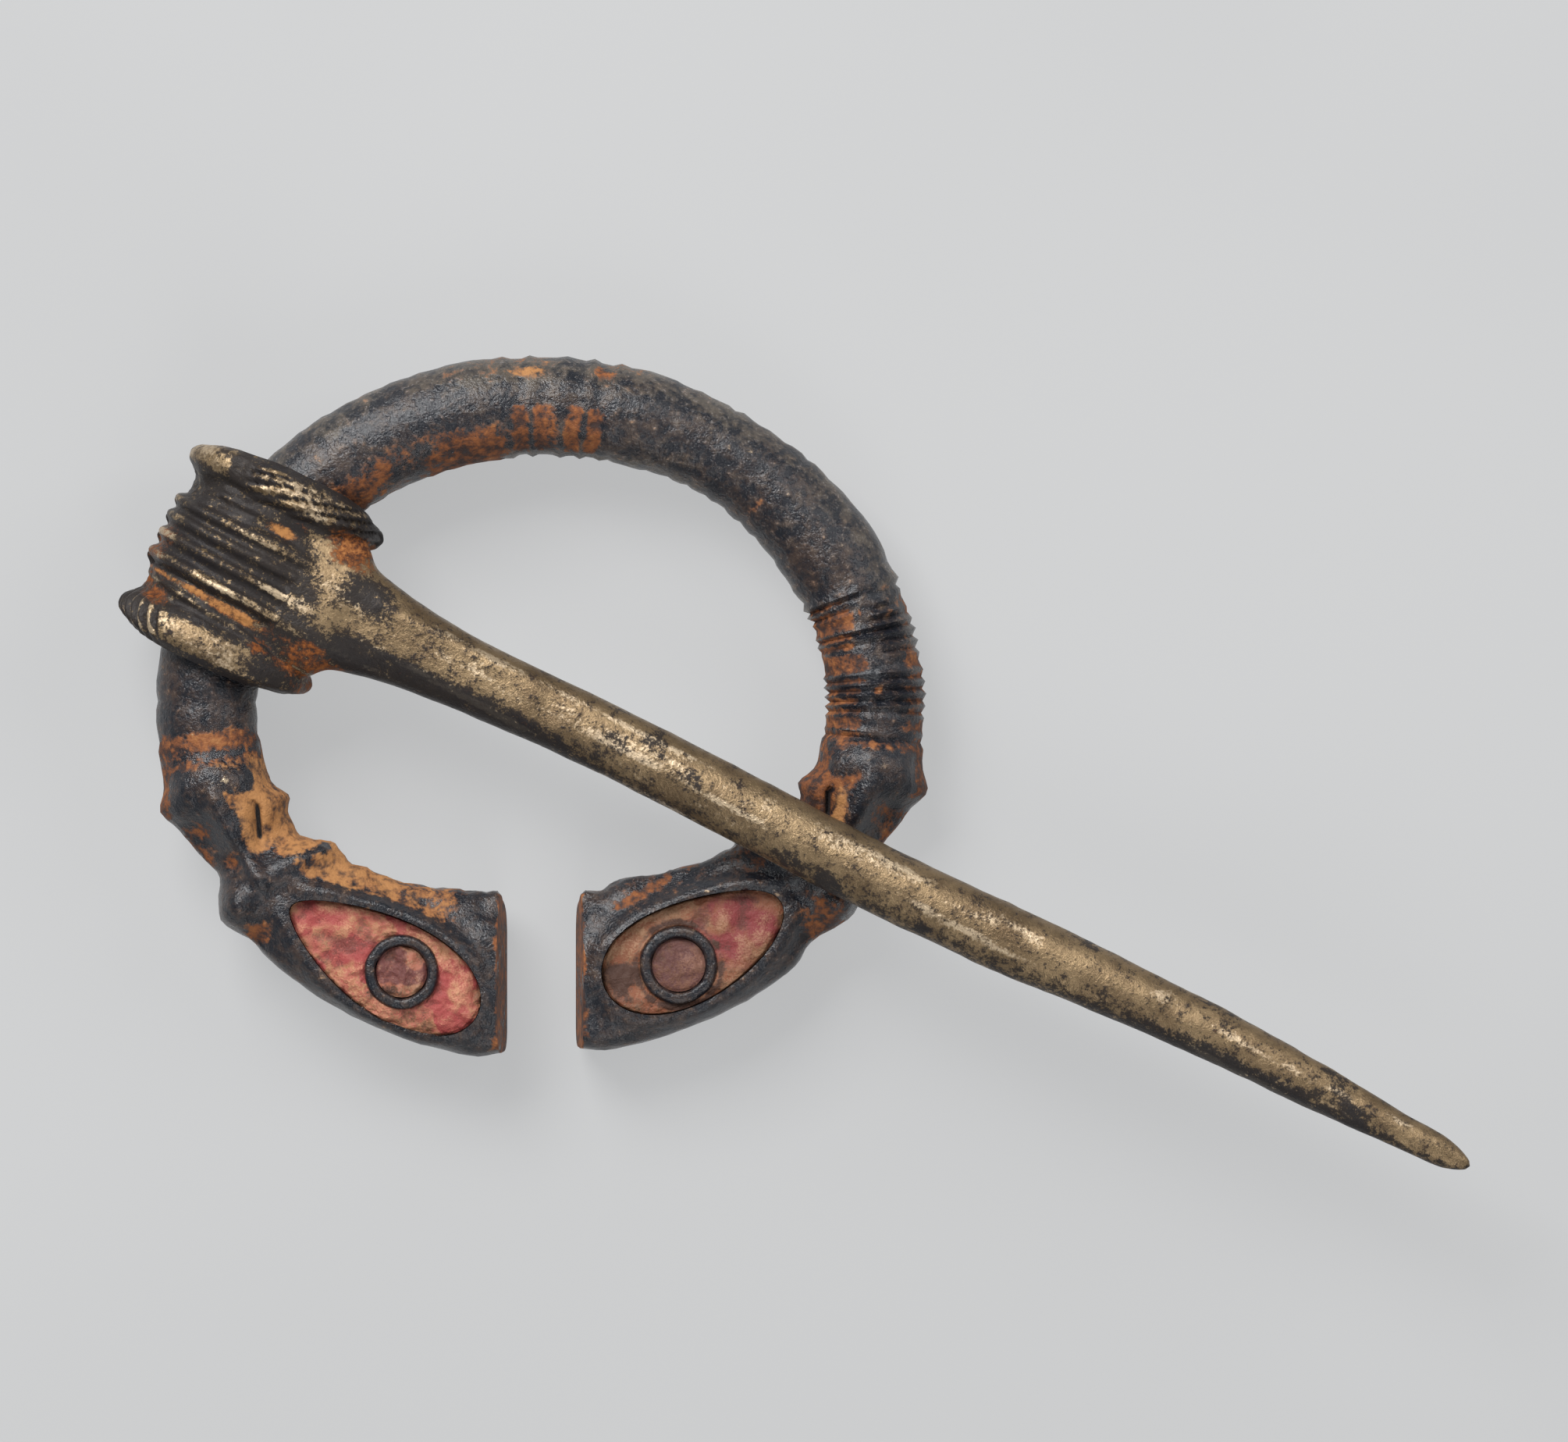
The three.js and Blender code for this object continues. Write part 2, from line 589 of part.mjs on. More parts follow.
function layDown(group) {
  group.updateMatrixWorld(true);
  const meshes = [];
  group.traverse((o) => o.isMesh && meshes.push(o));
  const points = meshes.flatMap(worldPoints);
  const centre = centreOfMass(meshes);
  const under = (tx, ty) => Math.min(...points.map((p) => p.z - tx * (p.x - centre.x) - ty * (p.y - centre.y)));
  const bestY = (tx) => climb((ty) => under(tx, ty), 0.3);
  const tiltX = climb((tx) => under(tx, bestY(tx)), 0.3);
  const normal = new THREE.Vector3(-tiltX, -bestY(tiltX), 1).normalize();
  group.quaternion.setFromUnitVectors(normal, new THREE.Vector3(0, 0, 1));
  group.updateMatrixWorld(true);
  const box = new THREE.Box3().setFromPoints(meshes.flatMap(worldPoints));
  const middle = box.getCenter(new THREE.Vector3());
  group.position.set(-middle.x, -middle.y, -box.min.z);
}

const brooch = new THREE.Group();
brooch.name = "penannular_brooch";
brooch.add(makeHoop(), makePin());
layDown(brooch);

export default brooch;
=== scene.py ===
"""Penannular brooch: the dressed hoop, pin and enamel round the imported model, and the stage they lie on."""

import json
import math
from functools import reduce
from operator import add

import bpy
import numpy as np
from bpy.props import FloatProperty, FloatVectorProperty, IntProperty, PointerProperty
from bpy.types import Operator, Panel, PropertyGroup
from mathutils import Matrix, Vector


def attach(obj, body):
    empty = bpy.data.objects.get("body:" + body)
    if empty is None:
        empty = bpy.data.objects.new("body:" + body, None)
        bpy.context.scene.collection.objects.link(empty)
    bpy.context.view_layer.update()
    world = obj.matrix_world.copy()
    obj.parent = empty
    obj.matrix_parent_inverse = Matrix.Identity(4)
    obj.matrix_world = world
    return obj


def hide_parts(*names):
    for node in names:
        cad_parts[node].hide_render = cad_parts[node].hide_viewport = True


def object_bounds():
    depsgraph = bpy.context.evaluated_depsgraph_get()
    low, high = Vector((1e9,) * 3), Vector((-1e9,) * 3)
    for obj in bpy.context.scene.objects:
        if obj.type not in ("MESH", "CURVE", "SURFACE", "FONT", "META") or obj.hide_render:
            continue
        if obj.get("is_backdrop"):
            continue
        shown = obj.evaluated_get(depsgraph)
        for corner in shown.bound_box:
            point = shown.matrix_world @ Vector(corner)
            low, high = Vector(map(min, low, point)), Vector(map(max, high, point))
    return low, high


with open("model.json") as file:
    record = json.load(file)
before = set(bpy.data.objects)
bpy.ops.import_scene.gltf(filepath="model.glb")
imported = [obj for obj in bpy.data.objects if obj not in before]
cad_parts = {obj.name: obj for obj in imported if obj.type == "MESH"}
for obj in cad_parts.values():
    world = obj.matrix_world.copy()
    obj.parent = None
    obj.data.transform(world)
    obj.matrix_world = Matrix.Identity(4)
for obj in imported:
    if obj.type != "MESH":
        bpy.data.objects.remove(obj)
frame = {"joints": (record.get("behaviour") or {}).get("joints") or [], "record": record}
CAD_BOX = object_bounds()

bl_info = {
    "name": "Penannular brooch",
    "version": (1, 0, 0),
    "blender": (4, 5, 0),
    "location": "3D View > Sidebar > Brooch",
    "description": "Models a cast penannular brooch with enamelled animal-head terminals",
    "category": "Object",
}

MM = 0.001
SHARP = math.radians(50)  # edges that turn more than this stay sharp
GAP_MIDDLE = 270.0  # degrees round the hoop

# Places along a terminal, in degrees from the middle of the gap
PLATE_WIDEST = 14.0
EAR = 56.0
WAIST = 63.5
SNOUT = 73.5
CREASE = 81.0
RIBS_START = 84.0

LEFT = {
    "sign": -1,
    "shift": 0.0,
    "ear": 0.62,
    "edge": 0.15,
    "flank": 0.25,
    "almond": {
        "at": 31.5, "inset": 0.49, "length": 14.1, "turn": 28.8, "swell": 0.21, "nose": 0.18, "bend": 0.4,
    },
    "ring": {"along": 1.336, "across": 0.16, "outer": 4.85, "inner": 3.4},
}
RIGHT = {
    "sign": 1,
    "shift": 3.2,
    "ear": 0.2,
    "edge": -0.2,
    "flank": 1.0,
    "almond": {
        "at": 32.4, "inset": 1.31, "length": 12.8, "turn": 21.0, "swell": 0.24, "nose": -0.11, "bend": 0.8,
    },
    "ring": {"along": 1.341, "across": -0.433, "outer": 5.1, "inner": 3.55},
}
SIDES = {"left": LEFT, "right": RIGHT}

# In millimetres from the hoop's middle, or along the pin from the middle of its head
ALMOND_WIDTH = 6.5
CELLS_BELOW = -8  # both enamel cells and the gap lie below this
RIM = 0.85  # from each end of the barrel to the middle of its rim
ROOT_ALONG, ROOT_UP = 4.9, 2.3  # where the shank leaves the barrel
VIEW_MIDDLE = (15.9, -0.94, 0)  # middle of the picture
CELL_POINTS = 160  # points in a cell's outline

# Shallower ribs elsewhere on the hoop: depth, first and last degree, and how softly they end
UPPER_RIBS = ((0.4, 28, 66, 6), (0.6, 74, 98, 3), (0.25, 108, 138, 6))

# In metres and watts; each light has a name, a direction from the brooch, a size and a power
CAMERA_AWAY, PICTURE_WIDTH, LIGHT_AWAY = 1.0, 0.1025, 0.45
LIGHTS = (
    ("key", (-0.5, 0.8, 1.0), 0.24, 2.7),
    ("side", (0.95, 0.5, 0.8), 0.2, 0.7),
    ("rim", (0.1, -0.9, 0.75), 0.2, 0.6),
)

# The left head's carving in the hoop's plane: lines, half widths, and heights above or below the surface.
# The right head has the same, mirrored.
SNOUT_RIDGE = [(-23.2, -5.3), (-21.6, -4.6), (-19.4, -4.8)]
MUZZLE_RIDGE = [(-21.3, -5.6), (-20.7, -7.4), (-19.5, -9.4), (-18.3, -11.2)]
INNER_ARM = [(-18.3, -11.2), (-16.0, -9.9), (-13.9, -9.1)]
OUTER_ARM = [(-18.3, -11.2), (-19.3, -12.2), (-19.8, -12.9)]
EYE_SLOT = [(-18.45, -6.5), (-18.3, -8.4)]
EYE_LID = [(-19.4, -6.8), (-19.05, -8.0), (-18.6, -9.4)]
CREST = [(-18.3, -11.2), (-16.0, -11.5), (-13.4, -12.0), (-10.1, -13.0), (-6.8, -14.5), (-4.2, -16.8)]
OUTER_CREST = [(-18.3, -11.2), (-17.5, -13.5), (-16.2, -16.1), (-13.9, -18.9), (-10.9, -20.8)]
HEAD_RELIEF = [
    (SNOUT_RIDGE, 1.0, 0.7),
    (SNOUT_RIDGE[:1], 1.1, 0.35),
    (MUZZLE_RIDGE, 0.8, 0.7),
    (INNER_ARM, 0.55, 0.5),
    (OUTER_ARM, 0.75, 0.45),
    (OUTER_ARM[-1:], 1.15, 0.9),
    (EYE_LID, 0.32, 0.22),
    (EYE_SLOT, 0.2, -0.55),
    (CREST, 0.5, 0.35),
    (OUTER_CREST, 0.6, 0.2),
    ([(-22.4, -8.0), (-21.6, -9.3)], 0.8, -0.6),
    ([(-20.1, -10.0), (-19.9, -10.5)], 0.4, -0.3),
    ([(-18.6, -14.2), (-18.2, -15.2)], 0.7, -0.5),
    ([(-11.0, -10.9), (-7.5, -12.0)], 0.6, -0.15),
    ([(-3.4, -13.4)], 1.0, -0.35),
    ([(-3.5, -20.9)], 1.1, -0.35),
]

# Ridges of the heads that are rubbed clean, with half widths
RUBBED_RIDGES = (
    (SNOUT_RIDGE, 1.05),
    (SNOUT_RIDGE[:1], 1.3),
    (MUZZLE_RIDGE, 0.8),
    (CREST, 0.62),
    (OUTER_ARM, 0.95),
    (OUTER_ARM[-1:], 1.3),
    (OUTER_CREST, 0.9),
)
# Spots of crust: on the left head a place, a size and an amount; on the pin's head a place and a size
CRUST_SPOTS = (((-20.1, -10.2), 0.5, 1.1), ((-18.4, -14.8), 0.8, 1.0), ((-22.0, -8.3), 1.0, 0.55))
PIN_CRUST_SPOTS = ((-4.8, -4.2, 0.56), (2.7, -4.3, 0.49), (-6.0, -3.4, 0.56))


def length(name, text, default):
    return FloatProperty(name=name, description=text, default=default, min=0, unit="LENGTH", precision=5)


def colour(name, text, default):
    return FloatVectorProperty(name=name, description=text, default=default, subtype="COLOR", min=0, max=1)


class BroochSizes(PropertyGroup):
    """Sizes of the hoop and the pin."""

    hoop_width: length("Hoop width", "Over the bar, left to right", 0.0504)
    hoop_height: length("Hoop height", "Over the bar, top to bottom", 0.046)
    bar: length("Bar", "Diameter of the hoop's round bar", 0.0067)
    rib_pitch: length("Rib pitch", "From one rib of the hoop to the next", 0.00075)
    rib_depth: length("Rib depth", "Of the deepest grooves between the ribs", 0.0004)
    plate_front: length("Plate front", "From the hoop's middle plane to a terminal's face", 0.00305)
    plate_back: length("Plate back", "From the hoop's middle plane to a terminal's back", 0.00295)
    plate_flare: length("Plate flare", "How far a terminal reaches inside the hoop's line", 0.00405)
    gap_back: length("Gap behind", "Between the terminals at their backs", 0.0045)
    gap_front: length("Gap in front", "Between the terminals at their faces", 0.0057)
    cell_depth: length("Cell depth", "Of the enamel cells", 0.0011)
    head_length: length("Head length", "Of the pin's barrel head, along the hoop", 0.0122)
    head_wide: length("Head width", "Half the barrel's width at its ridges", 0.0065)
    head_tall: length("Head height", "Half the barrel's height at its ridges", 0.00505)
    head_bow: length("Head bow", "How far the rims swell outwards in front", 0.00095)
    pin_reach: length("Pin reach", "From the middle of the head to the tip", 0.0882)
    shank: length("Shank", "Width of the pin where it is even", 0.00445)


class BroochColours(PropertyGroup):
    """Colours of the metals, the crust and the enamel."""

    patina: colour("Patina", "Near-black skin of the hoop", (0.008, 0.009, 0.013))
    patina_brown: colour("Brown patina", "Where the skin is thin", (0.05, 0.03, 0.022))
    crust: colour("Crust", "Orange-brown crust in the hollows", (0.21, 0.066, 0.017))
    crust_dark: colour("Dark crust", "Rust brown between the orange", (0.032, 0.013, 0.009))
    crust_pale: colour("Pale crust", "Dry ochre crust on the flanks", (0.36, 0.165, 0.055))
    gold: colour("Golden bronze", "Worn metal of the pin", (0.25, 0.175, 0.098))
    gold_dark: colour("Dull bronze", "Browner parts of the pin", (0.13, 0.088, 0.05))
    # Pale bronze is also the colour of painted highlights on the hoop and along the shank
    gold_pale: colour("Pale bronze", "Rubbed ridges and scratches", (0.6, 0.47, 0.32))
    pits: colour("Pits", "Brown-black left in the pin's pits", (0.014, 0.011, 0.011))
    rose: colour("Rose enamel", "Pink of the left enamel", (0.36, 0.1, 0.068))
    tan: colour("Tan enamel", "Decayed enamel", (0.38, 0.175, 0.09))
    crimson: colour("Crimson enamel", "Best kept enamel on the right", (0.19, 0.03, 0.03))
    plum: colour("Plum enamel", "The right terminal's disc", (0.095, 0.034, 0.028))
    dust: colour("Dust", "Olive-brown film on the hoop's outer side", (0.085, 0.07, 0.054))
    # Pale specks that are partly wear and partly painted sheen
    scuffs_and_sheen: colour("Scuffs", "Fine pale wear on the hoop's skin", (0.15, 0.135, 0.13))
    # Black for painted shade in the eye slits, the enamel cells and along the top's inner edge
    painted_shade: colour("Soot", "Black at the bottom of slits and cells", (0.012, 0.009, 0.009))
    enamel_dark: colour("Enamel stains", "Brown in the enamel's pits", (0.06, 0.025, 0.015))
    floor: colour("Floor", "Pale grey floor", (0.56, 0.565, 0.57))


class BroochDetail(PropertyGroup):
    """How finely the pieces are modelled."""

    hoop_stations: IntProperty(name="Hoop stations", description="Point rings round the hoop", default=880)
    hoop_around: IntProperty(name="Points round the bar", description="Points in each ring", default=104)
    barrel_around: IntProperty(name="Barrel points", description="Points round the pin's head", default=256)


def smooth(x, start, end):
    t = np.clip((np.asarray(x, float) - start) / (end - start), 0, 1)
    return t * t * (3 - 2 * t)


def bump(x, at, width):
    return np.exp(-(((x - at) / width) ** 2))


def window(x, start, end, soft):
    return smooth(x, start - soft, start + soft) * (1 - smooth(x, end - soft, end + soft))


def grain(points, size, seed=0):
    """Smooth noise from -1 to 1 whose lumps measure about size."""
    place = points / size + seed * 7.31
    cell = np.floor(place).astype(np.int64)
    part = place - cell
    part = part * part * (3 - 2 * part)
    total = np.zeros(len(points))
    for corner in np.ndindex(2, 2, 2):
        at = cell + corner
        mixed = at[:, 0] * 73856093 ^ at[:, 1] * 19349663 ^ at[:, 2] * 83492791 ^ (seed * 2654435 + 97)
        mixed = ((mixed ^ (mixed >> 13)) * 1274126177) & 0xFFFFFFFF
        mixed = ((mixed ^ (mixed >> 15)) * 668265263) & 0xFFFFFFFF
        weight = np.prod(np.where(corner, part, 1 - part), axis=1)
        total += weight * mixed / 0xFFFFFFFF
    return total * 2 - 1


def layered(points, size, layers, seed=0):
    return sum(grain(points, size / 2**i, seed + i) / 2**i for i in range(layers))


def from_gap(degree):
    return np.abs((degree - GAP_MIDDLE + 540) % 360 - 180)


def is_left(degree):
    return np.cos(np.radians(degree)) < 0


def by_side(degree, name):
    return np.where(is_left(degree), LEFT[name], RIGHT[name])


def line_distance(x, y, line):
    """How far each point is from a line of points, or from a single one."""
    nearest = np.full(np.shape(x), np.inf)
    for (ax, ay), (bx, by) in zip(line, line[1:] or line):
        dx, dy = bx - ax + 1e-9, by - ay
        along = np.clip(((x - ax) * dx + (y - ay) * dy) / (dx * dx + dy * dy), 0, 1)
        nearest = np.minimum(nearest, np.hypot(x - ax - along * dx, y - ay - along * dy))
    return nearest


def follow(x, y, line, width):
    return bump(line_distance(x, y, line), 0, width)


def spot(x, y, middle, size):
    return bump(np.hypot(x - middle[0], y - middle[1]), 0, size)


def squared(wave, power):
    """A sine or cosine whose curve is nearer to a square wave, the lower the power."""
    return np.sign(wave) * np.abs(wave) ** power


def arch(v, power):
    """Height of a rounded section from 0 at both edges to 1 in the middle."""
    return (1 - np.minimum(1, np.abs(v)) ** power) ** (1 / power)


def highest(*masks):
    return reduce(np.maximum, masks)


def columns(*values):
    return np.stack(np.broadcast_arrays(*values), axis=1)


class Form:
    """The brooch's shape in millimetres, about the hoop's middle and face up, worked out from its sizes."""

    def __init__(self, sizes):
        for name in BroochSizes.__annotations__:
            setattr(self, name, getattr(sizes, name) / MM)
        self.cell_floor = self.plate_front - self.cell_depth
        hinge = frame["joints"][0]
        face = Vector(mount_named("back_left")["axis"]) * -1
        turn = Vector((0, 0, 1)).rotation_difference(face).to_matrix()
        pin_y = turn.inverted() @ (Vector(hinge["axis"]) * -1)
        self.pin_turn = math.atan2(-pin_y.x, pin_y.y)
        self.head_at = self.by_centreline(154.7, 0.45)
        head = turn @ Vector((*self.head_at, 0))
        place = Matrix.Translation(Vector(hinge["pos_m"]) - head * MM)
        self.lie = place @ turn.to_4x4() @ Matrix.Scale(MM, 4)
        self.slope = self.shank_slope()

    def centreline(self, degree):
        angle = np.radians(degree)
        wide = (self.hoop_width - self.bar) / 2
        tall = (self.hoop_height - self.bar) / 2
        return 1 / np.hypot(np.cos(angle) / wide, np.sin(angle) / tall)

    def by_centreline(self, degree, inset):
        radius = self.centreline(degree) - inset
        return np.array([radius * math.cos(math.radians(degree)), radius * math.sin(math.radians(degree))])

    def in_cell(self, side, x, y):
        """A point given along and across an almond cell, on the terminal."""
        spec = side["almond"]
        middle = self.by_centreline(GAP_MIDDLE + side["sign"] * spec["at"], spec["inset"])
        angle = -math.radians(spec["turn"])
        c, s = math.cos(angle), math.sin(angle)
        turned = np.array([x * c - y * s, x * s + y * c])
        return middle + turned.T * [-side["sign"], 1]

    def ring_middle(self, side):
        return self.in_cell(side, side["ring"]["along"], side["ring"]["across"])

    def bar_radius(self, degree):
        return self.bar / 2 - 0.33 * bump(degree, 54, 18)

    def on_head(self, degree):
        """Where a place lies on its animal's head, measured as on the left one."""
        s = from_gap(degree)
        return s - by_side(degree, "shift") * smooth(s, EAR + 1, SNOUT - 3.5)

    def plateness(self, s):
        return smooth(s, WAIST + 3, WAIST - 12)

    def ribs(self, degree):
        """Depth of the grooves that are cut across the bar, as a share of the deepest."""
        s = from_gap(degree)
        turns = (s - RIBS_START) / np.degrees(self.rib_pitch / self.centreline(degree))
        left = is_left(degree)
        count = np.where(left, 8, 17.5)
        wave = 0.5 - 0.5 * np.cos(2 * np.pi * turns)
        near = (turns > 0) * smooth(turns, count, count * np.where(left, 0.5, 0.72)) * np.where(left, 0.45, 1)
        upper = sum(depth * window(degree, *reach) for depth, *reach in UPPER_RIBS)
        return wave**0.8 * np.maximum(near, upper * (turns > count))

    def outer_radius(self, degree):
        s = from_gap(degree)
        head = self.on_head(degree)
        knobs = 0.8 * bump(head, SNOUT + 1, 2.4) + by_side(degree, "ear") * bump(head, EAR, 2.3)
        waist = 0.95 * bump(head, WAIST - 1, np.where(head > WAIST - 1, 5.5, 2.6))
        corner = 0.5 * smooth(s, PLATE_WIDEST - 3, PLATE_WIDEST - 9)
        edge = by_side(degree, "edge") * self.plateness(s)
        return self.centreline(degree) + self.bar_radius(degree) + edge + knobs - waist - corner

    def inner_radius(self, degree):
        s = from_gap(degree)
        along = np.clip((s - PLATE_WIDEST) / (WAIST - 1.5 - PLATE_WIDEST), 0, 1)
        corner = 1.3 * smooth(s, PLATE_WIDEST, PLATE_WIDEST - 6)
        head = self.on_head(degree)
        flank = smooth(s, PLATE_WIDEST + 2, PLATE_WIDEST + 12) * smooth(s, WAIST, EAR - 1.5)
        flare = self.plate_flare * (1 - along) ** 0.75 + by_side(degree, "flank") * flank - corner
        knobs = 0.8 * bump(head, SNOUT - 3, 2.4) + 0.5 * bump(head, EAR + 0.5, 1.9)
        return self.centreline(degree) - self.bar_radius(degree) - flare - knobs

    def carving(self, s, v):
        """The broad relief of an animal head: v runs from -1 on the inner edge to 1 on the outer edge."""
        snout = 0.25 * bump(s, SNOUT, 2.6)
        ear = 0.2 * bump(s, EAR, 1.9) * (1 - 0.6 * bump(v, 0.35, 0.4))
        waist = 0.95 * bump(s, WAIST, 3.0)
        eyes = 0.35 * bump(s, 68.3, 1.9) * (bump(v, 0.62, 0.28) + 0.7 * bump(v, -0.35, 0.22))
        crease = 0.3 * bump(s, CREASE, 1.0) + 0.15 * bump(s, CREASE + 2.2, 0.5)
        bevel = 0.75 * smooth(v, -0.3, -1) * self.plateness(s)
        return snout + ear - waist - eyes - crease - bevel

    def front_height(self, degree, v):
        plate = self.plateness(from_gap(degree))
        power = 2 + 1.7 * plate
        crown = self.bar_radius(degree) * (1 - plate) + self.plate_front * plate
        return (crown + self.carving(self.on_head(degree), v)) * arch(v, power)

    def back_height(self, degree, v):
        plate = self.plateness(from_gap(degree))
        power = 2 + 3 * plate
        depth = self.bar_radius(degree) * (1 - plate) + self.plate_back * 1.04 * plate
        share = smooth(plate, 0, 0.5)
        return -np.minimum(depth * arch(v, power), self.bar * (1 - share) + self.plate_back * share)

    def across(self, x, y):
        """Degree and v of a point in the hoop's plane."""
        degree = np.degrees(np.arctan2(y, x))
        inner, outer = self.inner_radius(degree), self.outer_radius(degree)
        return degree, (2 * np.hypot(x, y) - inner - outer) / (outer - inner)

    def almond(self, side, inset, count):
        """The outline of an enamel cell."""
        spec = side["almond"]
        t = np.linspace(0, 2 * np.pi, count, endpoint=False)
        tail = (1 - np.cos(t)) / 2
        x = (spec["length"] / 2 - inset) * np.cos(t)
        y = (ALMOND_WIDTH / 2 - inset) * np.sin(t) * (1 + spec["swell"] * np.cos(t) - spec["nose"] * tail**3)
        return self.in_cell(side, x, y + spec["bend"] * tail**3)

    def on_hoop(self, x, y):
        """A point of the pin's own plane, in the hoop's."""
        c, s = math.cos(self.pin_turn), math.sin(self.pin_turn)
        return self.head_at[0] + x * c - y * s, self.head_at[1] + x * s + y * c

    def bore_radius(self, y):
        def offset(at):
            x1, y1 = self.on_hoop(0, at)
            return self.centreline(np.degrees(np.arctan2(y1, x1))) - np.hypot(x1, y1)

        lean = np.arctan(offset(y + 0.5) - offset(y - 0.5))
        return self.bar / 2 / np.cos(lean) + np.abs(offset(y)) + 0.26

    def bore_both_ways(self, y):
        return np.maximum(self.bore_radius(y), self.bore_radius(-y))

    def shank_width(self, x):
        flare = 3.0 * np.exp(-np.maximum(0, x - 7.3) / 4.2)
        web = 2.5 * smooth(x, 7.5, 6.0)
        taper = 0.061 * np.maximum(0, x - 54) + 0.06 * np.maximum(0, x - 77)
        from_tip = 1 - np.clip((self.pin_reach - x) / 2.6, 0, 1)
        return (self.shank + flare + web - taper) * np.sqrt(1 - from_tip**2)

    def shank_depth(self, x):
        width = self.shank_width(x)
        return np.minimum(width * 0.86, self.shank * 0.86 + 0.13 * (width - self.shank))

    def shank_slope(self):
        """How steeply the shank climbs so that it lies on the far side of the hoop."""
        across = np.linspace(-0.5, 0.5, 11) * self.shank
        x, y = np.meshgrid(np.arange(0.3, 0.6, 0.005) * self.pin_reach, across)
        degree, v = self.across(*self.on_hoop(x, y))
        top = self.front_height(degree, np.clip(v, -1, 1))
        climb = (top + 0.15 + self.shank_depth(x) / 2 - ROOT_UP) / (x - ROOT_ALONG)
        return float(np.max(np.where(np.abs(v) <= 1, climb, 0)))

    def shank_middle(self, x):
        return ROOT_UP + self.slope * (x - ROOT_ALONG)


def mount_named(name):
    return next(m for m in frame["record"]["mounts"] if m["name"] == name)


# Mesh work shared by the pieces
def deselect():
    if bpy.context.mode != "OBJECT":
        bpy.ops.object.mode_set(mode="OBJECT")
    bpy.ops.object.select_all(action="DESELECT")


def activate(obj):
    deselect()
    obj.select_set(True)
    bpy.context.view_layer.objects.active = obj


def rows_of(items, name):
    flat = np.empty(len(items) * 3)
    items.foreach_get(name, flat)
    return flat.reshape(-1, 3)


def points_of(obj):
    return rows_of(obj.data.vertices, "co")


def move_points(obj, points):
    obj.data.vertices.foreach_set("co", np.ascontiguousarray(points, dtype=np.float32).ravel())
    obj.data.update()


def face_outwards(obj):
    activate(obj)
    bpy.ops.object.mode_set(mode="EDIT")
    bpy.ops.mesh.select_all(action="SELECT")
    bpy.ops.mesh.normals_make_consistent(inside=False)
    bpy.ops.object.mode_set(mode="OBJECT")


def shape_to(obj, points):
    move_points(obj, points)
    face_outwards(obj)


def roughen(obj, points, amount):
    """Moves each point out along its normal."""
    move_points(obj, points + rows_of(obj.data.vertices, "normal") * amount[:, None])


def select_only(obj, kind, chosen):
    """Enters edit mode with only the chosen faces or points selected."""
    activate(obj)
    bpy.ops.object.mode_set(mode="EDIT")
    bpy.ops.mesh.select_mode(type=kind)
    bpy.ops.mesh.select_all(action="DESELECT")
    bpy.ops.object.mode_set(mode="OBJECT")
    parts = obj.data.polygons if kind == "FACE" else obj.data.vertices
    parts.foreach_set("select", chosen)
    bpy.ops.object.mode_set(mode="EDIT")


def paint(obj, name, values):
    """Stores a mask for the materials to read."""
    layer = obj.data.attributes.get(name) or obj.data.attributes.new(name, "FLOAT", "POINT")
    layer.data.foreach_set("value", np.clip(values, 0, 1).astype(np.float32))


def torus(name, around, section):
    """A torus to be shaped, with each point's place round it and round its section, as whole steps."""
    deselect()
    bpy.ops.mesh.primitive_torus_add(
        major_segments=around, minor_segments=section, major_radius=1, minor_radius=0.3, generate_uvs=False
    )
    obj = bpy.context.object
    obj.name = obj.data.name = name
    p = points_of(obj)
    turn = np.arctan2(p[:, 1], p[:, 0]) / (2 * np.pi) * around
    roll = np.arctan2(p[:, 2], np.hypot(p[:, 0], p[:, 1]) - 1) / (2 * np.pi) * section
    return obj, np.rint(turn).astype(int) % around, np.rint(roll).astype(int) % section


def ball(name, around, rings):
    """A sphere to be shaped, with each point's angle round it and its share of the way from pole to pole."""
    deselect()
    bpy.ops.mesh.primitive_uv_sphere_add(segments=around, ring_count=rings, radius=1, calc_uvs=False)
    obj = bpy.context.object
    obj.name = obj.data.name = name
    p = points_of(obj)
    return obj, np.arctan2(p[:, 1], p[:, 0]), np.arccos(np.clip(p[:, 2], -1, 1)) / np.pi


def cut(obj, tool, operation):
    activate(obj)
    modifier = obj.modifiers.new(operation, "BOOLEAN")
    modifier.operation = operation
    modifier.object = tool
    modifier.solver = "EXACT"
    bpy.ops.object.modifier_apply(modifier=modifier.name)
    bpy.data.objects.remove(tool)


def joined(objects):
    deselect()
    for obj in objects:
        obj.select_set(True)
    bpy.context.view_layer.objects.active = objects[0]
    bpy.ops.object.join()
    return objects[0]


def finish_piece(obj, form, body, material, nodes, slot_name):
    obj.data.transform(form.lie)
    obj.data.materials.clear()
    obj.data.materials.append(material)
    activate(obj)
    bpy.ops.object.shade_smooth_by_angle(angle=SHARP)
    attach(obj, body)
    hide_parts(*nodes)


